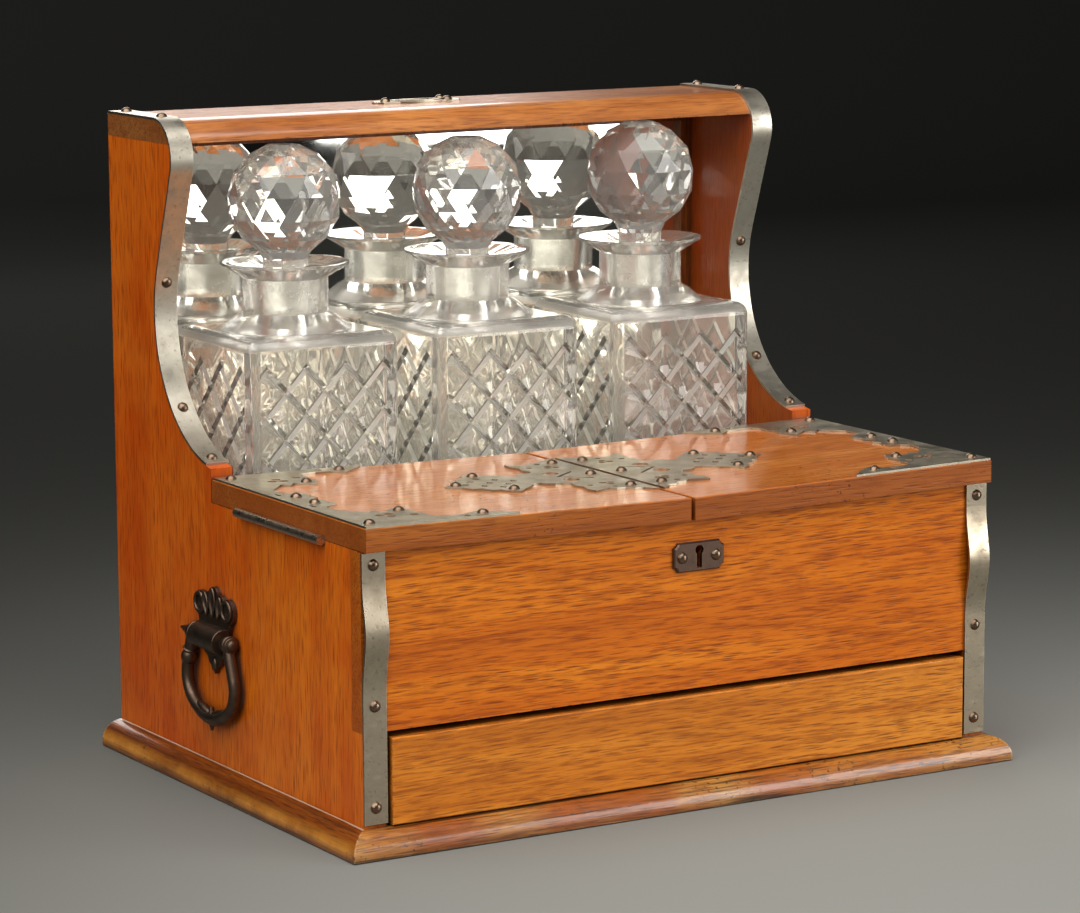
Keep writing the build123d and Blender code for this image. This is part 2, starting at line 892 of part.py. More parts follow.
# outline of a quarter of the centre mount: out from the seam, round the points, to the end tip
centre_quarter_outline = [
    (0.0, 52.0),
    (4.5, 50.0),
    (6.0, 46.5),
    (11.0, 46.5),
    (14.0, 42.5),
    (19.0, 42.5),
    (22.0, 39.5),
    (26.0, 41.0),
    (32.0, 44.5),
    (33.0, 38.0),
    (31.0, 31.0),
    (33.0, 25.0),
    (31.0, 19.0),
    (34.5, 15.8),
    (38.5, 16.6),
    (42.5, 14.5),
    (44.0, 11.0),
    (48.5, 12.0),
    (54.0, 18.5),
    (59.0, 22.0),
    (64.0, 27.5),
    (68.5, 25.0),
    (71.0, 19.5),
    (75.5, 18.0),
    (78.0, 12.5),
    (82.5, 11.0),
    (85.0, 5.5),
    (92.0, 0.0),
]
lattice_middle = 66.5
lattice_pitch = 9.6
lattice_hole = 3.5
bite_spot = (25.5, 10.2)
bite_radius = 4.3
clover_spot = (15.0, 27.5)
clover_spread = 2.6
clover_lobe = 2.1
point_hole_spots = ((26.5, 29.5), (17.0, 37.5))
point_hole_radius = 1.7
tongue_slot = ((13.5, 10.5), (27.0, 0.0), (13.5, -10.5))
tongue_slot_width = 1.6

with BuildPart() as left_centre_mount:
    with BuildSketch(lid_face):
        with Locations(Location((lid_end, lid_middle, 0), (0, 0, 180))):
            with BuildSketch(mode=Mode.PRIVATE) as half_centre:
                with BuildLine():
                    Polyline(
                        (mount_inset, 0),
                        *[(max(inward, mount_inset), along) for inward, along in centre_quarter_outline],
                        close=True,
                    )
                make_face()
                mirror(about=Plane.XZ)
                with Locations((lattice_middle, 0)):
                    with Locations(Location((0, 0, 0), (0, 0, 45))):
                        with GridLocations(lattice_pitch, lattice_pitch, 3, 3):
                            Rectangle(lattice_hole, lattice_hole, mode=Mode.SUBTRACT)
                for side in (-1, 1):
                    with Locations((bite_spot[0], side * bite_spot[1])):
                        Circle(bite_radius, mode=Mode.SUBTRACT)
                    with Locations((clover_spot[0], side * clover_spot[1])):
                        with PolarLocations(clover_spread, 3, start_angle=side * 90):
                            Circle(clover_lobe, mode=Mode.SUBTRACT)
                    with Locations(*[(inward, side * along) for inward, along in point_hole_spots]):
                        Circle(point_hole_radius, mode=Mode.SUBTRACT)
                with BuildLine():
                    Polyline(*tongue_slot)
                    offset(amount=tongue_slot_width / 2, side=Side.BOTH, kind=Kind.INTERSECTION)
                make_face(mode=Mode.SUBTRACT)
            add(half_centre.sketch)
    extrude(amount=mount_thickness)
    stud_holes(centre_stud_places)

with BuildPart() as right_centre_mount:
    mirror(left_centre_mount.part, about=Plane.YZ)

# ---------------------------------------------------------------------- hinges

knuckle_pitch = barrel_length / knuckle_count


def hinge_leaf(first, plane, leaf_low, leaf_high):
    """Leaf and its share of the knuckles on a plane whose origin is the hinge's axis."""
    with Locations(plane):
        with Locations((barrel_offset + leaf_width / 2, (barrel_front + barrel_back) / 2, (leaf_low + leaf_high) / 2)):
            Box(leaf_width, barrel_length, leaf_high - leaf_low)
        for index in range(first, knuckle_count, 2):
            middle = barrel_front + (index + 0.5) * knuckle_pitch
            length = knuckle_pitch - knuckle_gap
            with Locations((barrel_offset / 2, middle, (leaf_low + leaf_high) / 2)):
                Box(barrel_offset, length, leaf_high - leaf_low)
            with Locations((0, middle, 0)):
                Cylinder(barrel_radius, length, rotation=(90, 0, 0))
        with Locations((0, (barrel_front + barrel_back) / 2, 0)):
            Cylinder(
                pin_radius + metal_clearance,
                barrel_length + 1,
                rotation=(90, 0, 0),
                mode=Mode.SUBTRACT,
            )


left_fixed_plane = Plane(origin=left_hinge_plane.origin)

with BuildPart() as left_hinge_fixed_leaf:
    hinge_leaf(0, left_fixed_plane, -lid_seat_gap - leaf_thickness, -lid_seat_gap)
    screw_holes([place for place in fixed_leaf_screw_places if place.position.X < 0])

with BuildPart() as right_hinge_fixed_leaf:
    mirror(left_hinge_fixed_leaf.part, about=Plane.YZ)

with BuildPart() as left_hinge_lid_leaf:
    hinge_leaf(1, left_hinge_plane, 0, leaf_thickness)
    screw_holes(lid_leaf_screw_places)

with BuildPart() as right_hinge_lid_leaf:
    mirror(left_hinge_lid_leaf.part, about=Plane.YZ)

with BuildPart() as left_hinge_pin:
    with Locations((-hinge_x, case_front + (barrel_front + barrel_back) / 2, lid_underside)):
        Cylinder(pin_radius, barrel_length, rotation=(90, 0, 0))

with BuildPart() as right_hinge_pin:
    mirror(left_hinge_pin.part, about=Plane.YZ)

with BuildPart() as left_lid_screws:
    with Locations(*lid_leaf_screw_places):
        add(wood_screw.part)

with BuildPart() as right_lid_screws:
    mirror(left_lid_screws.part, about=Plane.YZ)

# ------------------------------------------------------------------------ lock

with BuildPart() as left_lid_link:  # plate let into the lid, with a looped tongue into the lock
    with BuildSketch(left_hinge_plane):
        lid_plate(
            (link_spot - link_plate + link_offset / 2, lid_end),
            (link_depth - link_plate / 2, link_depth + link_plate / 2),
        )
    extrude(amount=leaf_thickness)
    with Locations(left_hinge_plane):
        with Locations((link_spot, link_depth, (leaf_thickness - link_drop) / 2)):
            Box(link_thickness, link_width, link_drop + leaf_thickness)
        with Locations((link_spot, link_depth, -link_drop + link_tip + link_window_height / 2)):
            Box(2 * link_thickness, link_window_width, link_window_height, mode=Mode.SUBTRACT)

with BuildPart() as right_lid_link:
    mirror(left_lid_link.part, about=Plane.YZ)

tongue_tip = seam_underside - link_drop
finger_bottom = tongue_tip + link_tip + (link_window_height - bolt_finger_height) / 2
bar_top = tongue_tip - bolt_bar_gap
bar_bottom = bar_top - bolt_bar_height
lock_left = keyhole_x - lock_width / 2
lock_right = keyhole_x + lock_width / 2

with BuildPart() as lock_case:  # open towards the board, flanged for its screws
    block((lock_left, lock_right), (front_board_thickness, lock_back), (lock_bottom, lock_top))
    block(
        (lock_left + lock_wall, lock_right - lock_wall),
        (front_board_thickness, lock_back - lock_wall),
        (lock_bottom + lock_wall, lock_top - lock_wall),
        mode=Mode.SUBTRACT,
    )
    for low, high in ((lock_left - lock_flange, lock_left), (lock_right, lock_right + lock_flange)):
        block(
            (low, high),
            (front_board_thickness, front_board_thickness + lock_wall),
            (lock_bottom, lock_top),
        )
    for x in (-link_offset, link_offset):
        block(
            (x - link_thickness, x + link_thickness),
            (link_depth - link_width / 2 - 0.5, link_depth + link_width / 2 + 0.5),
            (lock_top - 2 * lock_wall, lock_top + 1),
            mode=Mode.SUBTRACT,
        )
    block(
        (lock_left + lock_wall, lock_right - lock_wall),
        (front_board_thickness + 0.7, lock_back - lock_wall),
        (bar_bottom - bolt_bar_gap - 0.8, bar_bottom - bolt_bar_gap),
    )
    with Locations((keyhole_x, case_front + lock_back - lock_wall, keyhole_height)):
        Cylinder(
            1.0,
            lock_depth - 2 * lock_wall,
            rotation=(90, 0, 0),
            align=(Align.CENTER, Align.CENTER, Align.MIN),
        )
    screw_holes(lock_screw_places)

with BuildPart() as lock_bolt:  # a sliding bar with two fingers, drawn back clear of the links
    bar_depths = (front_board_thickness + 0.7, lock_back - lock_wall - 0.5)
    finger_depths = (link_depth - bolt_finger / 2, link_depth + bolt_finger / 2)
    reach = bolt_finger_reach + bolt_finger
    tips = [x - link_thickness / 2 - bolt_tip_gap for x in (-link_offset, link_offset)]
    block((tips[0] - reach, lock_right - lock_wall - bolt_throw - 1), bar_depths, (bar_bottom, bar_top))
    for tip in tips:
        block(
            (tip - reach, tip - bolt_finger_reach),
            finger_depths,
            (bar_bottom, finger_bottom + bolt_finger_height),
        )
        block(
            (tip - bolt_finger_reach, tip),
            finger_depths,
            (finger_bottom, finger_bottom + bolt_finger_height),
        )
    with Locations((keyhole_x - bolt_throw / 2, case_front + link_depth, bar_bottom)):
        Cylinder(2.6, lock_depth, rotation=(90, 0, 0), mode=Mode.SUBTRACT)

with BuildPart() as case_screws:
    with Locations(*fixed_leaf_screw_places, *lock_screw_places):
        add(wood_screw.part)

# --------------------------------------------------------------------- handles

left_handle_plane = Plane(
    origin=(-half_width, case_front + handle_depth, handle_height),
    x_dir=(0, -1, 0),
    z_dir=(-1, 0, 0),
)
shell_lobes = (
    ((0.0, 21.0), 4.6),
    ((-7.2, 18.0), 4.2),
    ((7.2, 18.0), 4.2),
    ((-15.0, 15.0), 6.6),
    ((15.0, 15.0), 6.6),
)
handle_screw_spots = ((-15.0, 15.5), (15.0, 15.5))
handle_screw_places = [
    left_handle_plane * Pos(x, y, handle_plate_thickness) for x, y in handle_screw_spots
]

with BuildPart() as left_handle_plate:  # shell-shaped plate with a barrel for the bail
    with BuildSketch(left_handle_plane):
        with BuildLine():
            Polyline(
                (-15.0, 19.0),
                (15.0, 19.0),
                (17.0, 8.0),
                (15.0, 0.0),
                (13.0, -8.0),
                (8.0, -10.0),
                (6.0, -13.5),
                (2.5, -15.0),
                (0.0, -18.5),
                (-2.5, -15.0),
                (-6.0, -13.5),
                (-8.0, -10.0),
                (-13.0, -8.0),
                (-15.0, 0.0),
                (-17.0, 8.0),
                close=True,
            )
        make_face()
        for lobe_centre, lobe_radius in shell_lobes:
            with Locations(lobe_centre):
                Circle(lobe_radius)
    extrude(amount=handle_plate_thickness)
    with Locations(left_handle_plane):
        with Locations((0, 0, handle_axis_out)):
            Cylinder(handle_barrel_radius, 2 * barrel_half_length, rotation=(0, 90, 0))
    split(bisect_by=left_handle_plane, keep=Keep.TOP)
    with Locations(left_handle_plane):
        with Locations((0, 0, handle_axis_out)):
            Cylinder(
                trunnion_radius + metal_clearance,
                2 * barrel_half_length + 2,
                rotation=(0, 90, 0),
                mode=Mode.SUBTRACT,
            )
    screw_holes(handle_screw_places)

with BuildPart() as right_handle_plate:
    mirror(left_handle_plate.part, about=Plane.YZ)

bail_plane = left_handle_plane.offset(handle_axis_out)


def bail_line():
    """Middle of the bail's wire: round the bottom and both sides, and straight to the knobs."""
    side_x = bail_half_width - bail_side_radius
    bottom_y = bail_bottom_radius - bail_drop
    side_y = bottom_y - ((bail_bottom_radius - bail_side_radius) ** 2 - side_x**2) ** 0.5
    turn = degrees(atan2(side_x, bottom_y - side_y))
    to_knob = (bail_knob_offset - side_x, -side_y)
    side_end = degrees(
        atan2(to_knob[1], to_knob[0]) - acos(bail_side_radius / hypot(*to_knob))
    )
    left_end = 180 - side_end
    Line(
        (-bail_knob_offset, 0), point_on((-side_x, side_y), bail_side_radius, left_end)
    )
    CenterArc((-side_x, side_y), bail_side_radius, left_end, 90 - turn + side_end)
    CenterArc((0, bottom_y), bail_bottom_radius, -90 - turn, 2 * turn)
    CenterArc((side_x, side_y), bail_side_radius, turn - 90, 90 - turn + side_end)
    Line(point_on((side_x, side_y), bail_side_radius, side_end), (bail_knob_offset, 0))


with BuildPart() as left_bail:  # wire ring, with a knob, a point and a trunnion at each end
    with BuildLine(bail_plane) as bail_path:
        bail_line()
    bail_wire = bail_path.wires()[0]
    with BuildSketch(Plane(origin=bail_wire @ 0, z_dir=bail_wire % 0)):
        Circle(bail_wire_radius)
    sweep(path=bail_wire)
    for side in (-1, 1):
        with BuildSketch(bail_plane):
            with BuildLine():
                knob_start = bail_knob_offset - (bail_knob_radius**2 - trunnion_radius**2) ** 0.5
                knob_end = bail_knob_offset + bail_knob_radius * cos(radians(point_angle))
                point_base = bail_knob_radius * sin(radians(point_angle))
                Polyline(
                    (side * knob_start, trunnion_radius),
                    (side * trunnion_start, trunnion_radius),
                    (side * trunnion_start, 0),
                    (side * bail_tip, 0),
                    (side * bail_tip, point_blunt),
                    (side * knob_end, point_base),
                )
                ThreePointArc(
                    (side * knob_end, point_base),
                    (side * bail_knob_offset, bail_knob_radius),
                    (side * knob_start, trunnion_radius),
                )
            make_face()
        revolve(axis=Axis(bail_plane.origin, bail_plane.x_dir))
    with Locations(bail_plane):
        with Locations((0, -bail_drop - bail_finial / 2, 0)):
            Cone(bail_finial_radius, point_blunt, bail_finial, rotation=(90, 0, 0))
        with Locations((0, -bail_drop + bail_finial / 2, 0)):
            Cone(bail_finial_radius, 2 * point_blunt, bail_finial, rotation=(-90, 0, 0))

with BuildPart() as right_bail:
    mirror(left_bail.part, about=Plane.YZ)

with BuildPart() as handle_screws:
    with Locations(*handle_screw_places):
        add(wood_screw.part)
    mirror(about=Plane.YZ)

with BuildPart() as drilled_left_side:
    add(left_side.part)
    screw_holes(handle_screw_places)

with BuildPart() as drilled_right_side:
    mirror(drilled_left_side.part, about=Plane.YZ)

# ------------------------------------------------------------------- decanters

with BuildPart() as decanter:  # square body, short neck and dished collar, standing on the origin
    with BuildSketch():
        RectangleRounded(decanter_width, decanter_width, decanter_corner_radius)
    extrude(amount=shoulder_height)
    shoulder_edges = decanter.faces().sort_by(Axis.Z)[-1].edges()
    fillet(shoulder_edges, shoulder_rounding)
    with BuildSketch(Plane.XZ):
        with BuildLine():
            Polyline(
                (0, shoulder_height - 5),
                (decanter_width / 2 - shoulder_rounding - 2, shoulder_height - 0.5),
                (neck_radius + 4, neck_foot_height - 2),
                (neck_radius, neck_foot_height),
                (neck_radius, neck_height),
                (collar_radius, collar_rim_height - collar_thickness * 0.4),
                (collar_radius, collar_rim_height),
                (collar_radius - 3, collar_rim_height),
                (bore_top_radius + 2, neck_height + collar_thickness),
                (0, neck_height + collar_thickness),
                close=True,
            )
        make_face()
    revolve(axis=Axis.Z)
    with BuildSketch(Plane.XY.offset(decanter_base)):
        RectangleRounded(
            decanter_width - 2 * decanter_wall,
            decanter_width - 2 * decanter_wall,
            decanter_corner_radius - decanter_wall / 2,
        )
    extrude(amount=shoulder_height - decanter_base - decanter_wall, mode=Mode.SUBTRACT)
    with BuildSketch(Plane.XZ):
        with BuildLine():
            Polyline(
                (0, decanter_base + 20),
                (bore_bottom_radius, decanter_base + 20),
                (bore_bottom_radius, neck_height + collar_thickness - plug_length - 1),
                (bore_top_radius, neck_height + collar_thickness),
                (bore_top_radius, collar_rim_height + 1),
                (0, collar_rim_height + 1),
                close=True,
            )
        make_face()
    revolve(axis=Axis.Z, mode=Mode.SUBTRACT)


def ball_ring(latitude, shift):
    """Corners of one ring of the cut ball, turned by half a facet on every other ring."""
    return [
        Vector(
            ball_radius * cos(radians(latitude)) * cos(radians(360 / ball_sides * (i + shift))),
            ball_radius * cos(radians(latitude)) * sin(radians(360 / ball_sides * (i + shift))),
            ball_radius * sin(radians(latitude)),
        )
        for i in range(ball_sides)
    ]


ball_rings = [ball_ring(latitude, index % 2 / 2) for index, latitude in enumerate(ball_latitudes)]
ball_faces = [Face(Wire.make_polygon(ring)) for ring in (ball_rings[0], ball_rings[-1])]
for index in range(len(ball_rings) - 1):
    lower, upper = ball_rings[index], ball_rings[index + 1]
    turn = index % 2
    for i in range(ball_sides):
        following = (i + 1) % ball_sides
        ball_faces.append(
            Face(Wire.make_polygon([lower[i], lower[following], upper[(i + turn) % ball_sides]]))
        )
        ball_faces.append(
            Face(
                Wire.make_polygon(
                    [upper[i], upper[following], lower[(i + 1 - turn) % ball_sides]]
                )
            )
        )
cut_ball = Solid(Shell(ball_faces))


def stopper_part(stem_length):
    """Tapered plug, faceted stem and cut ball, in the decanter's own coordinates."""
    with BuildPart() as stopper:
        with BuildSketch(Plane.XZ):
            with BuildLine():
                Polyline(
                    (0, stopper_seat - plug_length),
                    (bore_bottom_radius - metal_clearance, stopper_seat - plug_length),
                    (bore_top_radius - metal_clearance, stopper_seat),
                    (0, stopper_seat),
                    close=True,
                )
            make_face()
        revolve(axis=Axis.Z)
        with BuildSketch(Plane.XY.offset(stopper_seat)):
            RegularPolygon(stem_radius, ball_sides)
        with BuildSketch(Plane.XY.offset(stopper_seat + stem_length * 0.6)):
            RegularPolygon(stem_radius, ball_sides)
        loft(ruled=True)
        with BuildSketch(Plane.XY.offset(stopper_seat + stem_length * 0.6)):
            RegularPolygon(stem_radius, ball_sides)
        with BuildSketch(Plane.XY.offset(stopper_seat + stem_length)):
            RegularPolygon(ball_foot, ball_sides)
        loft(ruled=True)
        with Locations((0, 0, stopper_seat + stem_length + ball_drop)):
            add(cut_ball)
    return stopper.part


decanter_places = {
    "left": (-decanter_pitch, case_front + decanter_depth, floor_top),
    "middle": (0, case_front + decanter_depth, floor_top),
    "right": (decanter_pitch, case_front + decanter_depth, floor_top),
}

pieces = {
    "plinth_front": plinth_front,
    "left_plinth_rail": left_plinth_rail,
    "right_plinth_rail": right_plinth_rail,
    "base_board": base_board,
    "left_side": drilled_left_side,
    "right_side": drilled_right_side,
    "front_board": front_board,
    "top_board": top_board,
    "back_board": back_board,
    "decanter_floor": decanter_floor,
    "left_partition": left_partition,
    "right_partition": right_partition,
    "mirror_glass": mirror_glass,
    "mirror_slips": mirror_slips,
    "drawer_front": drawer_front,
    "left_drawer_side": left_drawer_side,
    "right_drawer_side": right_drawer_side,
    "drawer_back_board": drawer_back_board,
    "drawer_bottom_panel": drawer_bottom_panel,
    "drawer_peg": drawer_peg,
    "left_corner_strap": left_corner_strap,
    "right_corner_strap": right_corner_strap,
    "left_upper_strap": left_upper_strap,
    "right_upper_strap": right_upper_strap,
    "top_cartouche": top_cartouche,
    "escutcheon": escutcheon,
    "case_studs": case_studs,
    "case_screws": case_screws,
    "left_lid": left_lid,
    "right_lid": right_lid,
    "left_lid_mount": left_lid_mount,
    "right_lid_mount": right_lid_mount,
    "left_centre_mount": left_centre_mount,
    "right_centre_mount": right_centre_mount,
    "left_lid_studs": left_lid_studs,
    "right_lid_studs": right_lid_studs,
    "left_hinge_fixed_leaf": left_hinge_fixed_leaf,
    "right_hinge_fixed_leaf": right_hinge_fixed_leaf,
    "left_hinge_lid_leaf": left_hinge_lid_leaf,
    "right_hinge_lid_leaf": right_hinge_lid_leaf,
    "left_hinge_pin": left_hinge_pin,
    "right_hinge_pin": right_hinge_pin,
    "left_lid_screws": left_lid_screws,
    "right_lid_screws": right_lid_screws,
    "left_lid_link": left_lid_link,
    "right_lid_link": right_lid_link,
    "lock_case": lock_case,
    "lock_bolt": lock_bolt,
    "left_handle_plate": left_handle_plate,
    "right_handle_plate": right_handle_plate,
    "left_bail": left_bail,
    "right_bail": right_bail,
    "handle_screws": handle_screws,
}

for place_name, place in decanter_places.items():
    with BuildPart() as placed_decanter:
        with Locations(place):
            add(decanter.part)
    with BuildPart() as placed_stopper:
        with Locations(place):
            add(stopper_part(stem_lengths[place_name]))
    pieces[f"{place_name}_decanter"] = placed_decanter
    pieces[f"{place_name}_stopper"] = placed_stopper

os.makedirs("parts", exist_ok=True)
for name, piece in pieces.items():
    piece.part.label = name
    export_step(piece.part, f"parts/{name}.step")
print(len(pieces), "pieces written")
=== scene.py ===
from math import cos, radians, sin
import bmesh
import bpy
from mathutils import Matrix, Vector


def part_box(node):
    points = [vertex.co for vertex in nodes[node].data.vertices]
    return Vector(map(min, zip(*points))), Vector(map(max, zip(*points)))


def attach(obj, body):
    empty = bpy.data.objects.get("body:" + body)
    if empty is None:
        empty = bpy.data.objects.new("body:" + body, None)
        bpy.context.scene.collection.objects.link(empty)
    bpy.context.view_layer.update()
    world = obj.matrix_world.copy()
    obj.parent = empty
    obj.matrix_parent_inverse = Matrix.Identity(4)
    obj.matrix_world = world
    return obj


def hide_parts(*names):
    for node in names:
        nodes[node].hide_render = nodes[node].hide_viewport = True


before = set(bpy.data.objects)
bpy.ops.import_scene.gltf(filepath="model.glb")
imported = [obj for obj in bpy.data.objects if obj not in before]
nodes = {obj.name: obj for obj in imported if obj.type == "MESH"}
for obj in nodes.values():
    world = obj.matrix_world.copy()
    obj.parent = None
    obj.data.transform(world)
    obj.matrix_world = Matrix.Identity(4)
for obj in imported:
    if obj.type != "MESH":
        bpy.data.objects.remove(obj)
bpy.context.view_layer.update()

print("frame loaded:", len(nodes), "nodes")


# small helpers for node trees
def feed(tree, socket, value):
    if isinstance(value, bpy.types.NodeSocket):
        tree.links.new(value, socket)
    else:
        socket.default_value = value


def addNode(tree, kind, values=None, **settings):
    node = tree.nodes.new(kind if kind.startswith("Node") else "ShaderNode" + kind)
    for key, value in settings.items():
        setattr(node, key, value)
    for key, value in (values or {}).items():
        feed(tree, node.inputs[key], value)
    return node


def ramp(tree, value, stops, blend="LINEAR"):
    node = addNode(tree, "ValToRGB", {0: value})
    node.color_ramp.interpolation = blend
    elements = node.color_ramp.elements
    while len(elements) < len(stops):
        elements.new(0.5)
    for element, (place, color) in zip(elements, stops):
        element.position = place
        element.color = (*color, 1.0)
    return node.outputs[0]


def mixColor(tree, amount, first, second, blend="MIX"):
    node = addNode(tree, "Mix", data_type="RGBA", blend_type=blend)
    for index, value in ((0, amount), (6, first), (7, second)):
        feed(tree, node.inputs[index], (*value, 1.0) if isinstance(value, tuple) else value)
    return node.outputs[2]


def calc(tree, operation, first, second=0.5, clamp=False):
    return addNode(tree, "Math", {0: first, 1: second}, operation=operation, use_clamp=clamp).outputs[0]


def times(tree, first, second, clamp=False):
    return calc(tree, "MULTIPLY", first, second, clamp)


def vectorCalc(tree, operation, values):
    return addNode(tree, "VectorMath", values, operation=operation).outputs[0]


def paint(tree, under, mask, amount, color):
    return mixColor(tree, times(tree, mask, amount), under, color)


def remap(tree, value, low, high, toLow=0.0, toHigh=1.0):
    return addNode(tree, "MapRange", {0: value, 1: low, 2: high, 3: toLow, 4: toHigh}).outputs[0]


def noise(tree, vector, scale, detail=3.0, roughness=0.55, distortion=0.0):
    values = {"Vector": vector, "Scale": scale, "Detail": detail, "Roughness": roughness}
    return addNode(tree, "TexNoise", {**values, "Distortion": distortion}).outputs[0]


def speckle(tree, vector, look, toLow=0.0, toHigh=1.0):
    scale, detail, roughness, start, full = look
    return remap(tree, noise(tree, vector, scale, detail, roughness), start, full, toLow, toHigh)


def stretched(tree, vector, scale):
    return addNode(tree, "Mapping", {"Vector": vector, "Scale": scale}).outputs[0]


def layer(tree, vector, look, scale=1.0):
    stretch, detail, roughness, distortion = look
    return noise(tree, stretched(tree, vector, stretch), scale, detail, roughness, distortion)


def bumped(tree, height, strength, distance):
    return addNode(tree, "Bump", {"Height": height, "Strength": strength, "Distance": distance}).outputs[0]


def objectPlace(tree):
    return addNode(tree, "TexCoord").outputs["Object"]


def separated(tree, vector):
    return addNode(tree, "SeparateXYZ", {0: vector}).outputs


def lookingUp(tree):  # 1 on faces that look up, 0 on upright ones, -1 on those that look down
    return separated(tree, addNode(tree, "TexCoord").outputs["Normal"])[2]


def newGroup(name, inputs, outputs):
    group = bpy.data.node_groups.new(name, "ShaderNodeTree")
    for label, kind, default in inputs:
        socket = group.interface.new_socket(label, in_out="INPUT", socket_type="NodeSocket" + kind)
        if default is not None:
            socket.default_value = default
    for label in outputs:
        group.interface.new_socket(label, in_out="OUTPUT", socket_type="NodeSocketFloat")
    return group, addNode(group, "NodeGroupInput").outputs, addNode(group, "NodeGroupOutput").inputs


def fillGroup(group, out, values):
    for label, value in values.items():
        feed(group, out[label], value)
    return group


def useGroup(tree, group, values):
    return addNode(tree, "Group", values, node_tree=group).outputs


def newMaterial(name):
    material = bpy.data.materials.new(name)
    material.use_nodes = True
    tree = material.node_tree
    tree.nodes.clear()
    shader = addNode(tree, "BsdfPrincipled")
    output = addNode(tree, "OutputMaterial")
    tree.links.new(shader.outputs[0], output.inputs[0])
    return material, tree, shader


def setShader(tree, shader, values):
    for name, value in values.items():
        feed(tree, shader.inputs[name], value)


# effects that several finishes share
# a speckle is: scale, detail, roughness, the noise at which it starts, the noise at which it is full
# a layer is: stretch along and across the board, detail, roughness, distortion

grainLook = {
    "wander": (3.0, 9.0, 9.0),  # slow bends of the whole grain
    "figure": ((0.055, 1.0, 1.0), 4.0, 0.60, 0.35),
    "streaks": ((18.0, 280.0, 280.0), 3.0, 0.62, 0.25),
    "fibre": ((48.0, 760.0, 760.0), 3.0, 0.65, 0.20),
    "pores": (62.0, 800.0, 800.0),
    "poreSize": (0.14, 0.40),  # deep inside the first distance, gone at the second
    "poreRings": (0.35, 0.60, 0.55, 1.0),  # fewer pores where the figure is dark
    "fibreRise": 0.5,
}


def makeWoodGrain(look):
    group, given, out = newGroup(
        "woodGrain",
        [("Vector", "Vector", None), ("Wave", "Float", 0.010), ("Band Scale", "Float", 46.0)],
        ["Figure", "Streaks", "Fibre", "Pores", "Height"],
    )
    along = stretched(group, given["Vector"], look["wander"])
    wander = addNode(group, "TexNoise", {"Vector": along, "Scale": 1.0, "Detail": 2.0}).outputs[1]
    centred = vectorCalc(group, "SUBTRACT", {0: wander, 1: (0.5, 0.5, 0.5)})
    push = vectorCalc(group, "SCALE", {0: centred, 3: given["Wave"]})
    bent = vectorCalc(group, "ADD", {0: given["Vector"], 1: push})
    figure = layer(group, bent, look["figure"], given["Band Scale"])
    fibre = layer(group, bent, look["fibre"])
    spread = stretched(group, bent, look["pores"])
    cells = addNode(group, "TexVoronoi", {"Vector": spread, "Scale": 1.0, "Randomness": 1.0}).outputs[0]
    dashes = remap(group, cells, *look["poreSize"], 1.0, 0.0)
    pores = times(group, dashes, remap(group, figure, *look["poreRings"]), True)
    return fillGroup(group, out, {
        "Figure": figure,
        "Streaks": layer(group, bent, look["streaks"]),
        "Fibre": fibre,
        "Pores": pores,
        "Height": calc(group, "SUBTRACT", times(group, fibre, look["fibreRise"]), pores),
    })


edgeLook = {
    "bend": (0.995, 0.86),  # likeness of the rounded and the true normal where wear starts and is full
    "patches": (4.0, 0.5, 0.36, 0.62),  # a speckle without its scale, which the finish gives
    "knocks": (210.0, 3.0, 0.55, 0.58, 0.64),
}


def makeEdgeWear(look):
    group, given, out = newGroup(
        "edgeWear",
        [("Vector", "Vector", None), ("Radius", "Float", 0.0012), ("Breakup", "Float", 90.0)],
        ["Mask", "Nicks"],
    )
    rounded = addNode(group, "Bevel", {"Radius": given["Radius"]}, samples=4).outputs[0]
    flat = addNode(group, "NewGeometry").outputs["Normal"]
    alike = addNode(group, "VectorMath", {0: rounded, 1: flat}, operation="DOT_PRODUCT").outputs["Value"]
    bend = remap(group, alike, *look["bend"])
    worn = speckle(group, given["Vector"], (given["Breakup"], *look["patches"]))
    knocks = speckle(group, given["Vector"], look["knocks"])
    return fillGroup(group, out, {
        "Mask": times(group, bend, worn, True),
        "Nicks": times(group, bend, knocks, True),
    })


dirtAndShadeLook = {
    "closed": (0.75, 0.25),  # open sky at which the dirt and painted shade start and are full
    "patches": (70.0, 3.0, 0.5, 0.2, 0.6),
    "least": 0.45,
}


def makeDirtAndShade(look):
    group, given, out = newGroup(
        "dirtAndShade", [("Vector", "Vector", None), ("Reach", "Float", 0.008)], ["Mask"],
    )
    # dirt and painted shade: ambient occlusion darkens crevices, corners and the places between parts
    shade = addNode(group, "AmbientOcclusion", {"Distance": given["Reach"]}, samples=4)
    closed = remap(group, shade.outputs["AO"], *look["closed"])
    patches = speckle(group, given["Vector"], look["patches"], look["least"], 1.0)
    return fillGroup(group, out, {"Mask": times(group, closed, patches, True)})


tarnishLook = {
    "cloud": (5.0, 0.62),  # detail, roughness
    "finer": 5.5,  # how much finer the spots are than the clouds
    "spots": (2.0, 0.5, 0.60, 0.72),  # a speckle without its scale
    "scratches": ((150.0, 2600.0, 260.0), 2.0, 0.5, 0.0),
    "scratchRange": (0.62, 0.74),
}


def makeTarnish(look):
    group, given, out = newGroup(
        "tarnish",
        [("Vector", "Vector", None), ("Spot Scale", "Float", 120.0)],
        ["Cloud", "Spots", "Scratches"],
    )
    finer = times(group, given["Spot Scale"], look["finer"])
    return fillGroup(group, out, {
        "Cloud": noise(group, given["Vector"], given["Spot Scale"], *look["cloud"]),
        "Spots": speckle(group, given["Vector"], (finer, *look["spots"])),
        "Scratches": remap(group, layer(group, given["Vector"], look["scratches"]), *look["scratchRange"]),
    })


woodGrain = makeWoodGrain(grainLook)
edgeWear = makeEdgeWear(edgeLook)
dirtAndShade = makeDirtAndShade(dirtAndShadeLook)
tarnish = makeTarnish(tarnishLook)

# wood

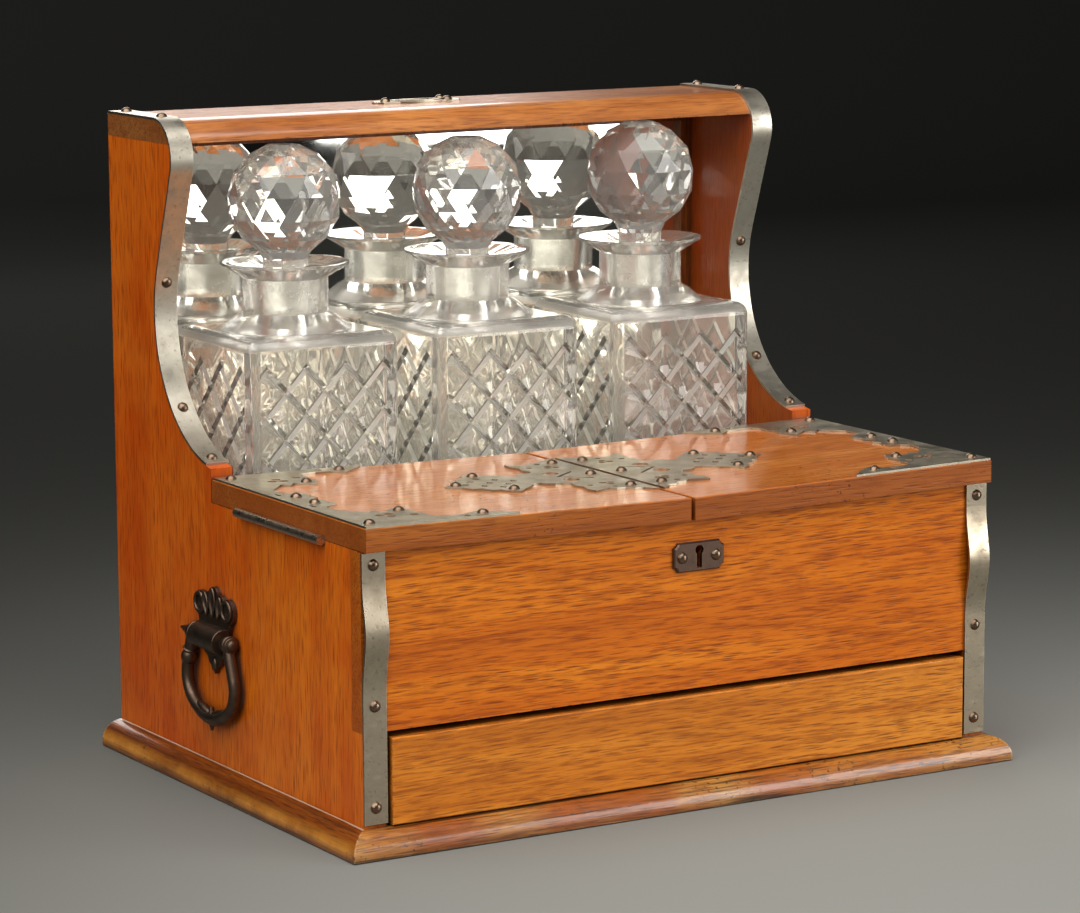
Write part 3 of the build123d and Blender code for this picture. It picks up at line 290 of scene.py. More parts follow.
alongX, alongY, alongZ = (0, 0, 0), (0, 0, radians(90)), (0, radians(90), 0)

caseBrown = dict(deep=(0.285, 0.045, 0.0040), body=(0.680, 0.165, 0.0080), pale=(0.820, 0.248, 0.0150))
drawerBrown = dict(deep=(0.290, 0.066, 0.0090), body=(0.680, 0.212, 0.0180), pale=(0.840, 0.325, 0.0380))
sideBrown = dict(deep=(0.270, 0.034, 0.0020), body=(0.520, 0.095, 0.0035), pale=(0.640, 0.150, 0.0060))
lidBrown = dict(deep=(0.200, 0.042, 0.0060), body=(0.560, 0.160, 0.0220), pale=(0.700, 0.250, 0.0450))
topBrown = dict(deep=(0.170, 0.040, 0.0080), body=(0.370, 0.115, 0.0210), pale=(0.480, 0.180, 0.0420))
plinthBrown = dict(deep=(0.110, 0.024, 0.0030), body=(0.360, 0.090, 0.0080), pale=(0.560, 0.200, 0.0240))
plinthSideBrown = dict(deep=(0.050, 0.011, 0.0016), body=(0.165, 0.036, 0.0030), pale=(0.270, 0.075, 0.0080))
innerBrown = dict(deep=(0.070, 0.016, 0.0040), body=(0.170, 0.045, 0.0100), pale=(0.260, 0.085, 0.0220))
liningBrown = dict(deep=(0.200, 0.085, 0.0300), body=(0.400, 0.215, 0.0900), pale=(0.520, 0.330, 0.1700))

# turn and shift place the grain; worn is the colour that edges are rubbed to, and wear how strongly;
# gloss is the shine of the bare wood, polish and topPolish are varnish; the rest are marks in woodColor
plainWood = {"streaks": 0.42, "fibre": 0.62, "soft": 0.25, "gloss": 0.12, "polish": 0.22}  # if not given
innerWood = dict(innerBrown, shift=(0.61, 0.35, 0.49), worn=(0.20, 0.08, 0.02), wear=0.4)
woodFinishes = {
    "frontWood": dict(
        caseBrown, turn=alongX, shift=(0.10, 0.31, 0.02), worn=(0.60, 0.24, 0.06), wear=0.45, ends=0.55,
    ),
    "drawerWood": dict(
        drawerBrown, turn=alongX, shift=(0.70, 0.11, 0.52), worn=(0.70, 0.36, 0.12), wear=0.6, ends=0.4,
    ),
    "sideWood": dict(
        # the faces inside the decanter well carry painted shade
        sideBrown, turn=alongZ, shift=(0.25, 0.44, 0.13), worn=(0.16, 0.04, 0.01), wear=0.5, wellShade=0.62,
        patchColor=(0.68, 0.21, 0.012), patches=0.60, fibre=0.34, streaks=0.16, soft=0.5,
        glow=((0.98, 0.78, 0.95), (1.14, 1.16, 1.25)),
    ),
    "lidWood": dict(
        lidBrown, turn=alongX, shift=(0.40, 0.77, 0.36), worn=(0.16, 0.05, 0.012), wear=0.8, pits=0.9,
        # the lid's faces that don't look up carry painted shade
        gloss=0.20, polish=0.10, topPolish=0.85, ends=0.45, edges=0.48, fibre=0.5, streaks=0.3,
    ),
    "topWood": dict(
        topBrown, turn=alongX, shift=(0.15, 0.27, 0.66), worn=(0.22, 0.08, 0.02), wear=0.6, gloss=0.35,
        polish=1.0, topPolish=0.6, ends=0.45, patchColor=(0.60, 0.24, 0.06), patches=0.5, fibre=0.5,
    ),
    "plinthWood": dict(
        plinthBrown, turn=alongX, shift=(0.33, 0.05, 0.19), worn=(0.62, 0.34, 0.12), wear=0.9, pits=0.8,
        gloss=0.5, polish=0.6, cracks=0.8, patchColor=(0.56, 0.29, 0.065), patches=0.75,
    ),
    "plinthSideWood": dict(
        plinthSideBrown, turn=alongY, shift=(0.73, 0.25, 0.39), worn=(0.50, 0.25, 0.08), wear=0.9, pits=0.5,
        # the top of the moulding carries a painted highlight line
        line=0.8, gloss=0.3, polish=0.4, cracks=0.6, bulge=(0.56, 0.235, 0.036),
    ),
    "innerWood": dict(innerWood, turn=alongX),
    "slipWood": dict(innerWood, turn=alongZ),
    "liningWood": dict(
        liningBrown, turn=alongX, shift=(0.91, 0.15, 0.29), worn=(0.60, 0.42, 0.24), wear=0.4, polish=0.0,
    ),
}
markPlaces = {  # in metres, where a mark begins on the case
    "glowFrom": 0.09,
    "glowTo": -0.11,
    "insideOfSides": 0.1684,
    "endGrain": 0.1797,
    "highlightLineFrom": 0.01312,
    "bulgeLow": 0.0005,
    "bulgeMiddle": 0.0050,
    "bulgeHigh": 0.0098,
}
woodMarks = {
    "figureStops": (0.20, 0.46, 0.70),
    "figureDepth": 0.35,
    "broad": (7.0, 3.0, 0.55, 0.30, 0.70),
    "roughness": (0.30, 0.44),
    "poreRoughness": 0.18,
    "rubbedThin": (13.0, 4.0, 0.60, 0.42, 0.64),
    "streakRange": (0.50, 0.68),
    "fibreRange": (0.48, 0.62),
    "stains": (34.0, 5.0, 0.65, 0.58, 0.78),
    "stainAmount": 0.45,
    "poreAmount": 0.70,
    "poreShade": 0.62,  # the pores are this much darker than the deep brown
    "endShade": 0.60,
    "gold": (22.0, 5.0, 0.65, 0.34, 0.60),
    "goldAmount": (0.10, 0.95),
    "wormholes": (420.0, 1.0, 0.55, 0.64, 0.70),
    "wormPatches": (16.0, 2.0, 0.55, 0.44, 0.58),
    "wormBlack": (0.020, 0.008, 0.004),
    "cracks": ((7.0, 330.0, 330.0), 3.0, 0.60, 0.40),
    "crackRange": (0.59, 0.635),
    "crackBlack": (0.028, 0.011, 0.005),
    "nickAmount": 0.85,
    "nickBlack": (0.030, 0.012, 0.006),
    "dirtShadeAmount": 0.75,
    "dirtShadeBlack": (0.022, 0.010, 0.005),
    # colour of the painted shade inside the decanter well
    "wellShadeDark": (0.060, 0.016, 0.006),
    # colour of the painted highlight line on the plinth moulding
    "highlightPale": (0.50, 0.42, 0.33),
    "shadeTilt": (0.85, 0.35),  # how far up a face looks where the painted shade starts and where it is full
    "topTilt": (0.60, 0.95),  # the same for the varnish of topPolish
    "coatRoughness": 0.12,
    "bump": (0.35, 0.0003),  # strength, distance
}


def woodColor(tree, place, turned, grain, finish):
    marks = woodMarks
    deep, body = finish["deep"], finish["body"]
    share = marks["figureDepth"] + finish["soft"]  # how far the broad bands are held back
    shade = tuple(d + (b - d) * share for d, b in zip(deep, body))
    color = ramp(tree, grain["Figure"], list(zip(marks["figureStops"], (shade, body, finish["pale"]))))
    if "patches" in finish:  # where hands and cloths have rubbed the colour thin
        rubbedThin = speckle(tree, place, marks["rubbedThin"])
        color = paint(tree, color, rubbedThin, finish["patches"], finish["patchColor"])
    color = paint(tree, color, remap(tree, grain["Streaks"], *marks["streakRange"]), finish["streaks"], deep)
    color = paint(tree, color, remap(tree, grain["Fibre"], *marks["fibreRange"]), finish["fibre"], deep)
    color = paint(tree, color, speckle(tree, place, marks["stains"]), marks["stainAmount"], deep)
    poreBrown = tuple(part * marks["poreShade"] for part in deep)
    color = paint(tree, color, grain["Pores"], marks["poreAmount"], poreBrown)
    axes = separated(tree, place)
    if "bulge" in finish:  # the nose of the moulding is rubbed to gold, above and below it stays dark
        rising = remap(tree, axes[2], markPlaces["bulgeLow"], markPlaces["bulgeMiddle"])
        falling = remap(tree, axes[2], markPlaces["bulgeHigh"], markPlaces["bulgeMiddle"])
        gold = speckle(tree, place, marks["gold"], *marks["goldAmount"])
        color = paint(tree, color, times(tree, rising, falling), gold, finish["bulge"])
    if "pits" in finish:
        holes, patches = (speckle(tree, place, marks[key]) for key in ("wormholes", "wormPatches"))
        color = paint(tree, color, times(tree, holes, patches), finish["pits"], marks["wormBlack"])
    if "cracks" in finish:
        lines = remap(tree, layer(tree, turned, marks["cracks"]), *marks["crackRange"])
        color = paint(tree, color, lines, finish["cracks"], marks["crackBlack"])
    edge = useGroup(tree, edgeWear, {"Vector": place})
    color = paint(tree, color, edge["Mask"], finish["wear"], finish["worn"])
    color = paint(tree, color, edge["Nicks"], marks["nickAmount"], marks["nickBlack"])
    # dirt and painted shade darken the crevices and the places between parts
    dirtShade = useGroup(tree, dirtAndShade, {"Vector": place})["Mask"]
    color = paint(tree, color, dirtShade, marks["dirtShadeAmount"], marks["dirtShadeBlack"])
    if "glow" in finish:  # the front of the sides has faded to gold, the back is still red
        forward = remap(tree, axes[1], markPlaces["glowFrom"], markPlaces["glowTo"])
        color = mixColor(tree, 1.0, color, mixColor(tree, forward, *finish["glow"]), "MULTIPLY")
    sideways = calc(tree, "ABSOLUTE", axes[0])
    if "wellShade" in finish:  # painted shade: the faces towards the decanters, inside the well, are darkened
        inWell = calc(tree, "LESS_THAN", sideways, markPlaces["insideOfSides"])
        color = paint(tree, color, inWell, finish["wellShade"], marks["wellShadeDark"])
    if "ends" in finish:  # end grain drinks in more polish
        atEnd = calc(tree, "GREATER_THAN", sideways, markPlaces["endGrain"])
        color = paint(tree, color, atEnd, finish["ends"], tuple(part * marks["endShade"] for part in deep))
    if "edges" in finish:  # painted shade: the faces that don't look up are darkened towards the deep brown
        color = paint(tree, color, remap(tree, lookingUp(tree), *marks["shadeTilt"]), finish["edges"], deep)
    if "line" in finish:  # painted highlight: a pale line where the moulding meets the side
        inHighlightLine = calc(tree, "GREATER_THAN", axes[2], markPlaces["highlightLineFrom"])
        color = paint(tree, color, inHighlightLine, finish["line"], marks["highlightPale"])
    return color


def polishedWood(name, ownFinish):
    finish, marks = {**plainWood, **ownFinish}, woodMarks
    material, tree, shader = newMaterial(name)
    place = objectPlace(tree)
    turning = {"Vector": place, "Rotation": finish["turn"], "Location": finish["shift"]}
    turned = addNode(tree, "Mapping", turning).outputs[0]
    grain = useGroup(tree, woodGrain, {"Vector": turned})
    broad = speckle(tree, turned, marks["broad"], *marks["roughness"])
    coat = finish["polish"]
    if "topPolish" in finish:  # only the upper face was burnished
        coat = remap(tree, lookingUp(tree), *marks["topTilt"], finish["polish"], finish["topPolish"])
    setShader(tree, shader, {
        "Base Color": woodColor(tree, place, turned, grain, finish),
        "Roughness": calc(tree, "ADD", broad, times(tree, grain["Pores"], marks["poreRoughness"])),
        "Specular IOR Level": finish["gloss"],
        "Coat Weight": coat,
        "Coat Roughness": marks["coatRoughness"],
        "Normal": bumped(tree, grain["Height"], *marks["bump"]),
    })
    return material


# metal

metalFinishes = {
    "strapMetal": dict(
        clean=(0.50, 0.430, 0.325), dull=(0.24, 0.197, 0.140), stain=(0.075, 0.045, 0.028),
        smooth=0.26, rough=0.44, spots=90.0,
    ),
    # painted light: a paler, warmer copy of strapMetal, so the upper straps show the brighter reflections they
    # catch
    "litStrapMetal": dict(
        clean=(0.55, 0.520, 0.44), dull=(0.32, 0.29, 0.235), stain=(0.085, 0.055, 0.036),
        smooth=0.30, rough=0.50, spots=90.0,
    ),
    "mountMetal": dict(
        clean=(0.60, 0.54, 0.42), dull=(0.36, 0.32, 0.235), stain=(0.090, 0.060, 0.038),
        smooth=0.28, rough=0.46, spots=85.0,
    ),
    "studMetal": dict(
        clean=(0.235, 0.165, 0.115), dull=(0.10, 0.062, 0.042), stain=(0.040, 0.022, 0.015),
        smooth=0.24, rough=0.42, spots=260.0,
    ),
    "plateMetal": dict(
        clean=(0.17, 0.110, 0.085), dull=(0.085, 0.052, 0.040), stain=(0.030, 0.018, 0.014),
        smooth=0.30, rough=0.46, spots=190.0,
    ),
    "bronze": dict(
        clean=(0.155, 0.108, 0.078), dull=(0.070, 0.047, 0.035), stain=(0.022, 0.014, 0.010),
        smooth=0.36, rough=0.52, spots=140.0,
    ),
    "brass": dict(
        clean=(0.62, 0.43, 0.17), dull=(0.30, 0.19, 0.075), stain=(0.10, 0.055, 0.025),
        smooth=0.25, rough=0.45, spots=150.0,
    ),
    # painted light: a paler copy of darkSteel, standing in for the highlights on the hinges in the shadow of
    # the lids
    "litHingeSteel": dict(
        clean=(0.70, 0.60, 0.48), dull=(0.34, 0.27, 0.205), stain=(0.060, 0.036, 0.024),
        smooth=0.24, rough=0.42, spots=200.0,
    ),
    "darkSteel": dict(
        clean=(0.34, 0.27, 0.21), dull=(0.15, 0.11, 0.08), stain=(0.055, 0.030, 0.018),
        smooth=0.24, rough=0.42, spots=150.0,
    ),
}
metalMarks = {
    "cloudStops": (0.16, 0.66),
    "spotAmount": 0.35,
    "edge": {"Radius": 0.0006, "Breakup": 160.0},
    "edgeAmount": 0.7,
    "edgeBrighter": 1.7,
    "dirtShadeReach": 0.0025,
    "dirtShadeAmount": 0.85,
    "dirtShadeBlack": (0.020, 0.012, 0.008),
    "dirtShadeDulls": 0.7,
    "roughRange": (0.30, 0.65),
    "scratchRoughness": 0.10,
    "cloudRise": 0.6,
    "bump": (0.15, 0.0002),
}


def agedMetal(name, finish):
    marks = metalMarks
    material, tree, shader = newMaterial(name)
    place = objectPlace(tree)
    film = useGroup(tree, tarnish, {"Vector": place, "Spot Scale": finish["spots"]})
    color = ramp(tree, film["Cloud"], list(zip(marks["cloudStops"], (finish["dull"], finish["clean"]))))
    color = paint(tree, color, film["Spots"], marks["spotAmount"], finish["stain"])
    bright = tuple(min(1.0, part * marks["edgeBrighter"]) for part in finish["clean"])
    wear = useGroup(tree, edgeWear, {"Vector": place, **marks["edge"]})["Mask"]
    color = paint(tree, color, wear, marks["edgeAmount"], bright)
    # dirt and painted shade darken the crevices and the places between parts
    dirtShade = useGroup(tree, dirtAndShade, {"Vector": place, "Reach": marks["dirtShadeReach"]})["Mask"]
    sheen = remap(tree, film["Cloud"], *marks["roughRange"], finish["rough"], finish["smooth"])
    scratches = times(tree, film["Scratches"], marks["scratchRoughness"])
    pitted = calc(tree, "SUBTRACT", times(tree, film["Cloud"], marks["cloudRise"]), film["Spots"])
    setShader(tree, shader, {
        "Base Color": paint(tree, color, dirtShade, marks["dirtShadeAmount"], marks["dirtShadeBlack"]),
        "Metallic": calc(tree, "SUBTRACT", 1.0, times(tree, dirtShade, marks["dirtShadeDulls"])),
        "Roughness": calc(tree, "ADD", sheen, scratches),
        "Normal": bumped(tree, pitted, *marks["bump"]),
    })
    return material


# glass and mirror

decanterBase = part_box("left_decanter")[0][2]
wheelWork = {
    "flankFrom": (0.12, 0.30),  # tilt of a face at which it counts as the flank of a groove
    "flankTo": (0.85, 0.70),  # and as level again
    # colour of the painted shade on the lower flanks of the grooves
    "shade": (0.20, 0.19, 0.17),
    "flankShadeAmount": 0.95,
    "frost": 0.40,
    "ground": 0.26,  # the neck is ground inside, for the stopper
    "groundPatches": (90.0, 4.0, 0.55, 0.35, 0.65),
    "groundLeast": 0.35,
    "neckFoot": (decanterBase + 0.160, decanterBase + 0.164),
    "neckTop": (decanterBase + 0.183, decanterBase + 0.180),
}
glassFinishes = {
    "cutGlass": dict(tint=(0.999, 0.988, 0.945), roughness=0.012, clarity=0.94, cuts=wheelWork),
    "stopperGlass": dict(tint=(0.999, 0.992, 0.965), roughness=0.0, clarity=0.915),
}
glassMarks = {
    "shadow": (0.95, 0.94, 0.91, 1.0),  # what the glass lets through of a lamp
    "refraction": 1.53,
    "smearScale": 45.0,
    "smearDetail": 4.0,
    "smearTintRange": (0.40, 0.75),
    "smearTint": 0.97,
    "smearRoughRange": (0.45, 0.75),
    "smearRough": 0.03,
    "rippleScale": 60.0,
    "ripple": (0.12, 0.0004),
}


def clearGlass(name, tint, roughness, clarity, cuts=None):
    marks = glassMarks
    material, tree, shader = newMaterial(name)
    letThrough = addNode(tree, "BsdfTransparent", {"Color": marks["shadow"]}).outputs[0]
    shadowRay = addNode(tree, "LightPath").outputs["Is Shadow Ray"]
    either = addNode(tree, "MixShader", {0: shadowRay, 1: shader.outputs[0], 2: letThrough})
    tree.links.new(either.outputs[0], tree.nodes["Material Output"].inputs[0])
    place = objectPlace(tree)
    smear = noise(tree, place, marks["smearScale"], marks["smearDetail"])
    smeared = tuple(part * marks["smearTint"] for part in tint)
    base = mixColor(tree, remap(tree, smear, *marks["smearTintRange"]), tint, smeared)
    rough = remap(tree, smear, *marks["smearRoughRange"], roughness, roughness + marks["smearRough"])
    if cuts:  # the lower flank of each groove, which looks down, is painted dark as shade, and the wheel left the upper one slightly frosted
        tilt = lookingUp(tree)
        under, over = (
            times(
                tree,
                remap(tree, tilt, *(sign * edge for edge in cuts["flankFrom"])),
                remap(tree, tilt, *(sign * edge for edge in cuts["flankTo"])),
            )
            for sign in (-1, 1)
        )
        base = paint(tree, base, under, cuts["flankShadeAmount"], cuts["shade"])
        height = separated(tree, place)[2]
        inNeck = times(tree, remap(tree, height, *cuts["neckFoot"]), remap(tree, height, *cuts["neckTop"]))
        uneven = speckle(tree, place, cuts["groundPatches"], cuts["groundLeast"], 1.0)
        ground = times(tree, times(tree, inNeck, uneven), cuts["ground"])
        rough = calc(tree, "ADD", rough, calc(tree, "ADD", times(tree, over, cuts["frost"]), ground))
    setShader(tree, shader, {
        "Base Color": base,
        "Roughness": rough,
        "Transmission Weight": clarity,
        "IOR": marks["refraction"],
        "Normal": bumped(tree, noise(tree, place, marks["rippleScale"], 1.0), *marks["ripple"]),
    })
    return material


mirrorLook = {
    "silver": (0.90, 0.90, 0.86),
    "foxed": (0.16, 0.14, 0.11),
    "foxing": (26.0, 6.0, 0.70, 0.64, 0.74),
    "foxingAmount": 0.5,
    "haze": (9.0, 4.0, 0.55, 0.35, 0.75),
    "roughness": (0.012, 0.05),
}


def silveredMirror(name, look):
    material, tree, shader = newMaterial(name)
    place = objectPlace(tree)
    foxing = speckle(tree, place, look["foxing"])
    setShader(tree, shader, {
        "Base Color": paint(tree, look["silver"], foxing, look["foxingAmount"], look["foxed"]),
        "Metallic": 1.0,
        "Roughness": speckle(tree, place, look["haze"], *look["roughness"]),
    })
    return material


materials = {name: polishedWood(name, finish) for name, finish in woodFinishes.items()}
materials.update({name: agedMetal(name, finish) for name, finish in metalFinishes.items()})
materials.update({name: clearGlass(name, **finish) for name, finish in glassFinishes.items()})
materials["mirrorSilver"] = silveredMirror("mirrorSilver", mirrorLook)


def bothSides(*names):
    return [side + name for name in names for side in ("left_", "right_")]


nodeFinishes = {
    "frontWood": ["front_board"],
    "drawerWood": ["drawer_front"],
    "sideWood": bothSides("side"),
    "lidWood": bothSides("lid"),
    "topWood": ["top_board"],
    "plinthWood": ["plinth_front"],
    "plinthSideWood": bothSides("plinth_rail"),
    "innerWood": ["decanter_floor"] + bothSides("partition"),
    "slipWood": ["mirror_slips"],
    "liningWood": ["base_board", "back_board", "drawer_back_board", "drawer_bottom_panel"]
    + bothSides("drawer_side"),
    "strapMetal": ["top_cartouche"] + bothSides("corner_strap"),
    "litStrapMetal": bothSides("upper_strap"),
    "litHingeSteel": bothSides("hinge_fixed_leaf", "hinge_lid_leaf", "hinge_pin"),
    "mountMetal": bothSides("lid_mount", "centre_mount"),
    "studMetal": ["case_studs"] + bothSides("lid_studs"),
    "plateMetal": ["escutcheon"],
    "bronze": ["handle_screws"] + bothSides("handle_plate"),
    "brass": ["drawer_peg", "lock_bolt"] + bothSides("lid_link"),
    "darkSteel": ["lock_case", "case_screws"] + bothSides("lid_screws"),
    "stopperGlass": ["middle_stopper"] + bothSides("stopper"),
    "mirrorSilver": ["mirror_glass"],
}
for finishName, nodeNames in nodeFinishes.items():
    for nodeName in nodeNames:
        mesh = nodes[nodeName].data
        mesh.materials.clear()
        mesh.materials.append(materials[finishName])
print("finishes set:", len(materials))

# cut-glass decanters

onePoint = 1e-6  # points nearer than this are one
decanterCut = {
    "across": 0.0224,  # width of a diamond
    "tall": 0.0239,  # height of a diamond
    "firstRow": 0.0075,  # height of the first crossing above the base
    "cutsEachWay": 10,  # grooves of each slope on either side of the middle
    "halfGroove": 0.0018,
    "grooveDepth": 0.0017,
    "backGrooveDepth": 0.0006,  # the back is cut lighter
    "eyeInset": 0.0030,  # dished middle of each diamond
    "eyeDepth": 0.0004,
    "leastEye": 1.2e-4,  # smaller diamonds aren't dished
    "rowsOfPeaks": 5.5,  # the lattice ends in a zigzag this many diamonds up
    "latticeSlack": 1e-3,  # in diamonds
    "wallFrom": 0.0425,  # the flat wall is further from the middle than this
    "wallSquare": 0.999,  # and faces outwards this squarely
    "flatAngle": 0.6,
    "smoothAngle": 28,
}


def shadeByAngle(bm, angle):
    for face in bm.faces:
        face.smooth = True
    for edge in bm.edges:
        if len(edge.link_faces) == 2 and edge.calc_face_angle(0.0) > radians(angle):
            edge.smooth = False


def meshObject(name, bm, material):
    mesh = bpy.data.meshes.new(name)
    bm.to_mesh(mesh)
    bm.free()
    mesh.materials.append(material)
    made = bpy.data.objects.new(name, mesh)
    bpy.context.scene.collection.objects.link(made)
    return made


def newPiece(name, bm, finish, body):
    piece = meshObject(name, bm, materials[finish])
    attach(piece, body)
    return piece


def withEdges(faces):
    return list({item for face in faces for item in (face, *face.edges, *face.verts)})


def cutSide(bm, centre, outward, cut):
    across = Vector((-outward.y, outward.x, 0))
    up = Vector((0, 0, 1))
    geom = withEdges([
        face for face in bm.faces
        if face.normal.dot(outward) > cut["wallSquare"]
        and (face.calc_center_median() - centre).dot(outward) > cut["wallFrom"]
    ])
    for slope in (-1, 1):
        direction = (across / cut["across"] + up * slope / cut["tall"]).normalized()
        for step in range(-cut["cutsEachWay"], cut["cutsEachWay"] + 1):
            onLine = centre + across * cut["across"] * step + up * cut["firstRow"]
            for shift in (-cut["halfGroove"], 0.0, cut["halfGroove"]):
                onEdge = onLine + direction * shift
                result = bmesh.ops.bisect_plane(
                    bm, geom=geom, dist=onePoint, plane_co=onEdge, plane_no=direction,
                )
                geom = list({item for item in result["geom"] if item.is_valid})
    faces = {item for item in geom if isinstance(item, bmesh.types.BMFace)}
    sunk = set()

    def inDiamonds(point):
        place = point - centre
        return place.dot(across) / cut["across"], (place.z - cut["firstRow"]) / cut["tall"]

    def belowPeaks(sideways, rise):
        beside = abs((sideways - cut["rowsOfPeaks"] + 0.5) % 1.0 - 0.5)
        return rise < cut["rowsOfPeaks"] - beside + cut["latticeSlack"]

    for vert in {v for f in faces for v in f.verts}:
        if any(f not in faces for f in vert.link_faces):
            continue
        sideways, rise = inDiamonds(vert.co)
        if not belowPeaks(sideways, rise):
            continue
        for value in (sideways - rise, sideways + rise):
            if abs(value - round(value)) < cut["latticeSlack"]:
                sunk.add(vert)
    depth = cut["backGrooveDepth"] if outward.y > 0.5 else cut["grooveDepth"]
    for vert in sunk:
        vert.co -= outward * depth
    diamonds = []
    for face in faces:
        sideways, rise = inDiamonds(face.calc_center_median())
        whole = len(face.verts) == 4 and face.calc_area() > cut["leastEye"]
        if whole and belowPeaks(sideways, rise + 0.5) and not any(v in sunk for v in face.verts):
            diamonds.append(face)
    inset, dish = cut["eyeInset"], -cut["eyeDepth"]
    bmesh.ops.inset_individual(bm, faces=diamonds, thickness=inset, depth=dish, use_even_offset=True)
    bmesh.ops.poke(bm, faces=diamonds, offset=dish)


def cutDecanter(name, body):
    low, high = (Vector(corner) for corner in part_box(body))
    centre = Vector(((low.x + high.x) / 2, (low.y + high.y) / 2, low.z))
    bm = bmesh.new()
    bm.from_mesh(nodes[body].data)
    bmesh.ops.remove_doubles(bm, verts=bm.verts, dist=onePoint)
    flat = radians(decanterCut["flatAngle"])
    bmesh.ops.dissolve_limit(bm, angle_limit=flat, verts=bm.verts, edges=bm.edges)
    for outward in (Vector((0, -1, 0)), Vector((1, 0, 0)), Vector((0, 1, 0)), Vector((-1, 0, 0))):
        cutSide(bm, centre, outward, decanterCut)
    bmesh.ops.triangulate(bm, faces=[f for f in bm.faces if len(f.verts) > 4])
    shadeByAngle(bm, decanterCut["smoothAngle"])
    piece = newPiece(name, bm, "cutGlass", body)
    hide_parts(body)
    return piece


for body in ("left_decanter", "middle_decanter", "right_decanter"):
    piece = cutDecanter(body.replace("_decanter", "CutDecanter"), body)
print("decanters cut:", len(piece.data.polygons), "faces each")

# relief on the side handles

shell = {
    "axisDepth": 0.02195,  # where the middle of the plate stands on the side of the case
    "axisHeight": 0.078,
    "plateFace": 0.1825,
    "rise": 0.0013,
    "petals": [  # across, up, half width, half length, lean in degrees
        (0.0, 0.0175, 0.0040, 0.0080, 0),
        (-0.0073, 0.0160, 0.0033, 0.0062, 12),
        (0.0073, 0.0160, 0.0033, 0.0062, -12),
    ],
    "petalTaper": 0.55,
    "petalSteps": [(0.16, 0.0004), (0.20, -0.0003), (0.25, -0.0010)],  # inset in half widths, rise
    "scroll": (0.0150, 0.0155, 0.0005),  # across, up, out
    "scrollRadius": 0.0048,
    "scrollWire": 0.0011,
    "collarAcross": 0.0140,
    "collarOut": 0.0021,
    "barrelRadius": 0.00595,
    "collarWire": 0.0007,
    "tip": (0.0, -0.0135, 0.0),
    "tipBoss": (0.0026, 0.0039, 0.00156),
    "tipSides": (16, 8),
    "wireSides": 8,
    "ringSides": 28,
}


def hollowPetal(bm, across, up, halfWidth, halfLength, lean):
    verts = bmesh.ops.create_circle(bm, cap_ends=True, segments=16, radius=1.0)["verts"]
    bmesh.ops.scale(bm, vec=(halfWidth, halfLength, 1.0), verts=verts)
    for vert in verts:  # teardrop: narrow where the petals meet
        if vert.co.y < 0:
            vert.co.x *= 1.0 + shell["petalTaper"] * vert.co.y / halfLength
    turn = Matrix.Translation((across, up, 0)) @ Matrix.Rotation(radians(lean), 4, "Z")
    bmesh.ops.transform(bm, matrix=turn, verts=verts)
    raised = bmesh.ops.extrude_face_region(bm, geom=[verts[0].link_faces[0]])["geom"]
    top = [item for item in raised if isinstance(item, bmesh.types.BMFace)]
    bmesh.ops.translate(bm, vec=(0, 0, shell["rise"]), verts=[v for f in top for v in f.verts])
    for share, rise in shell["petalSteps"]:
        bmesh.ops.inset_individual(bm, faces=top, thickness=halfWidth * share, depth=rise)


def ringOf(bm, radius, wire, place, axis="Z"):
    origin = (0, 0, 0)
    verts = bmesh.ops.create_circle(bm, segments=shell["wireSides"], radius=wire)["verts"]
    bmesh.ops.rotate(bm, cent=origin, matrix=Matrix.Rotation(radians(90), 3, "X"), verts=verts)
    bmesh.ops.translate(bm, vec=(radius, 0, 0), verts=verts)
    loop = verts + list({e for v in verts for e in v.link_edges})
    full, steps = radians(360), shell["ringSides"]
    bmesh.ops.spin(bm, geom=loop, cent=origin, axis=(0, 0, 1), angle=full, steps=steps, use_merge=True)
    newest = {v for v in verts if v.is_valid}
    grown = set(newest)
    while newest:  # walks round the whole ring
        newest = {e.other_vert(v) for v in newest for e in v.link_edges} - grown
        grown |= newest
    if axis == "X":
        bmesh.ops.rotate(bm, cent=origin, matrix=Matrix.Rotation(radians(90), 3, "Y"), verts=list(grown))
    bmesh.ops.translate(bm, vec=place, verts=list(grown))


def addBoss(bm, turn, centre, halfSizes, lean=0, sides=(20, 12)):
    verts = bmesh.ops.create_uvsphere(bm, u_segments=sides[0], v_segments=sides[1], radius=1.0)["verts"]
    bmesh.ops.scale(bm, vec=halfSizes, verts=verts)
    placed = turn @ Matrix.Translation(centre) @ Matrix.Rotation(radians(lean), 4, "Z")
    bmesh.ops.transform(bm, matrix=placed, verts=verts)


def shellRelief(side):
    bm = bmesh.new()
    for petal in shell["petals"]:
        hollowPetal(bm, *petal)
    across, up, out = shell["scroll"]
    for hand in (-1, 1):
        ringOf(bm, shell["scrollRadius"], shell["scrollWire"], (hand * across, up, out))
    for hand in (-1, 1):
        collar = (hand * shell["collarAcross"], 0, shell["collarOut"])
        ringOf(bm, shell["barrelRadius"], shell["collarWire"], collar, "X")
    addBoss(bm, Matrix(), shell["tip"], shell["tipBoss"], sides=shell["tipSides"])
    outward = Matrix(((0, 0, side, 0), (side, 0, 0, 0), (0, 1, 0, 0), (0, 0, 0, 1)))
    onSide = Matrix.Translation((side * shell["plateFace"], shell["axisDepth"], shell["axisHeight"])) @ outward
    bmesh.ops.transform(bm, matrix=onSide, verts=bm.verts)
    bmesh.ops.remove_doubles(bm, verts=bm.verts, dist=onePoint)
    bmesh.ops.recalc_face_normals(bm, faces=bm.faces)
    for face in bm.faces:
        face.smooth = True
    sideName = "left" if side < 0 else "right"
    piece = newPiece(sideName + "ShellRelief", bm, "bronze", "case")
    rounding = piece.modifiers.new("rounding", "SUBSURF")
    rounding.levels = rounding.render_levels = 2
    return piece


for side in (-1, 1):
    piece = shellRelief(side)
print("handle relief made:", len(piece.data.polygons), "faces each")

# ring handles: beads on the arms, leaves at the bottom, a button in place of the front horn

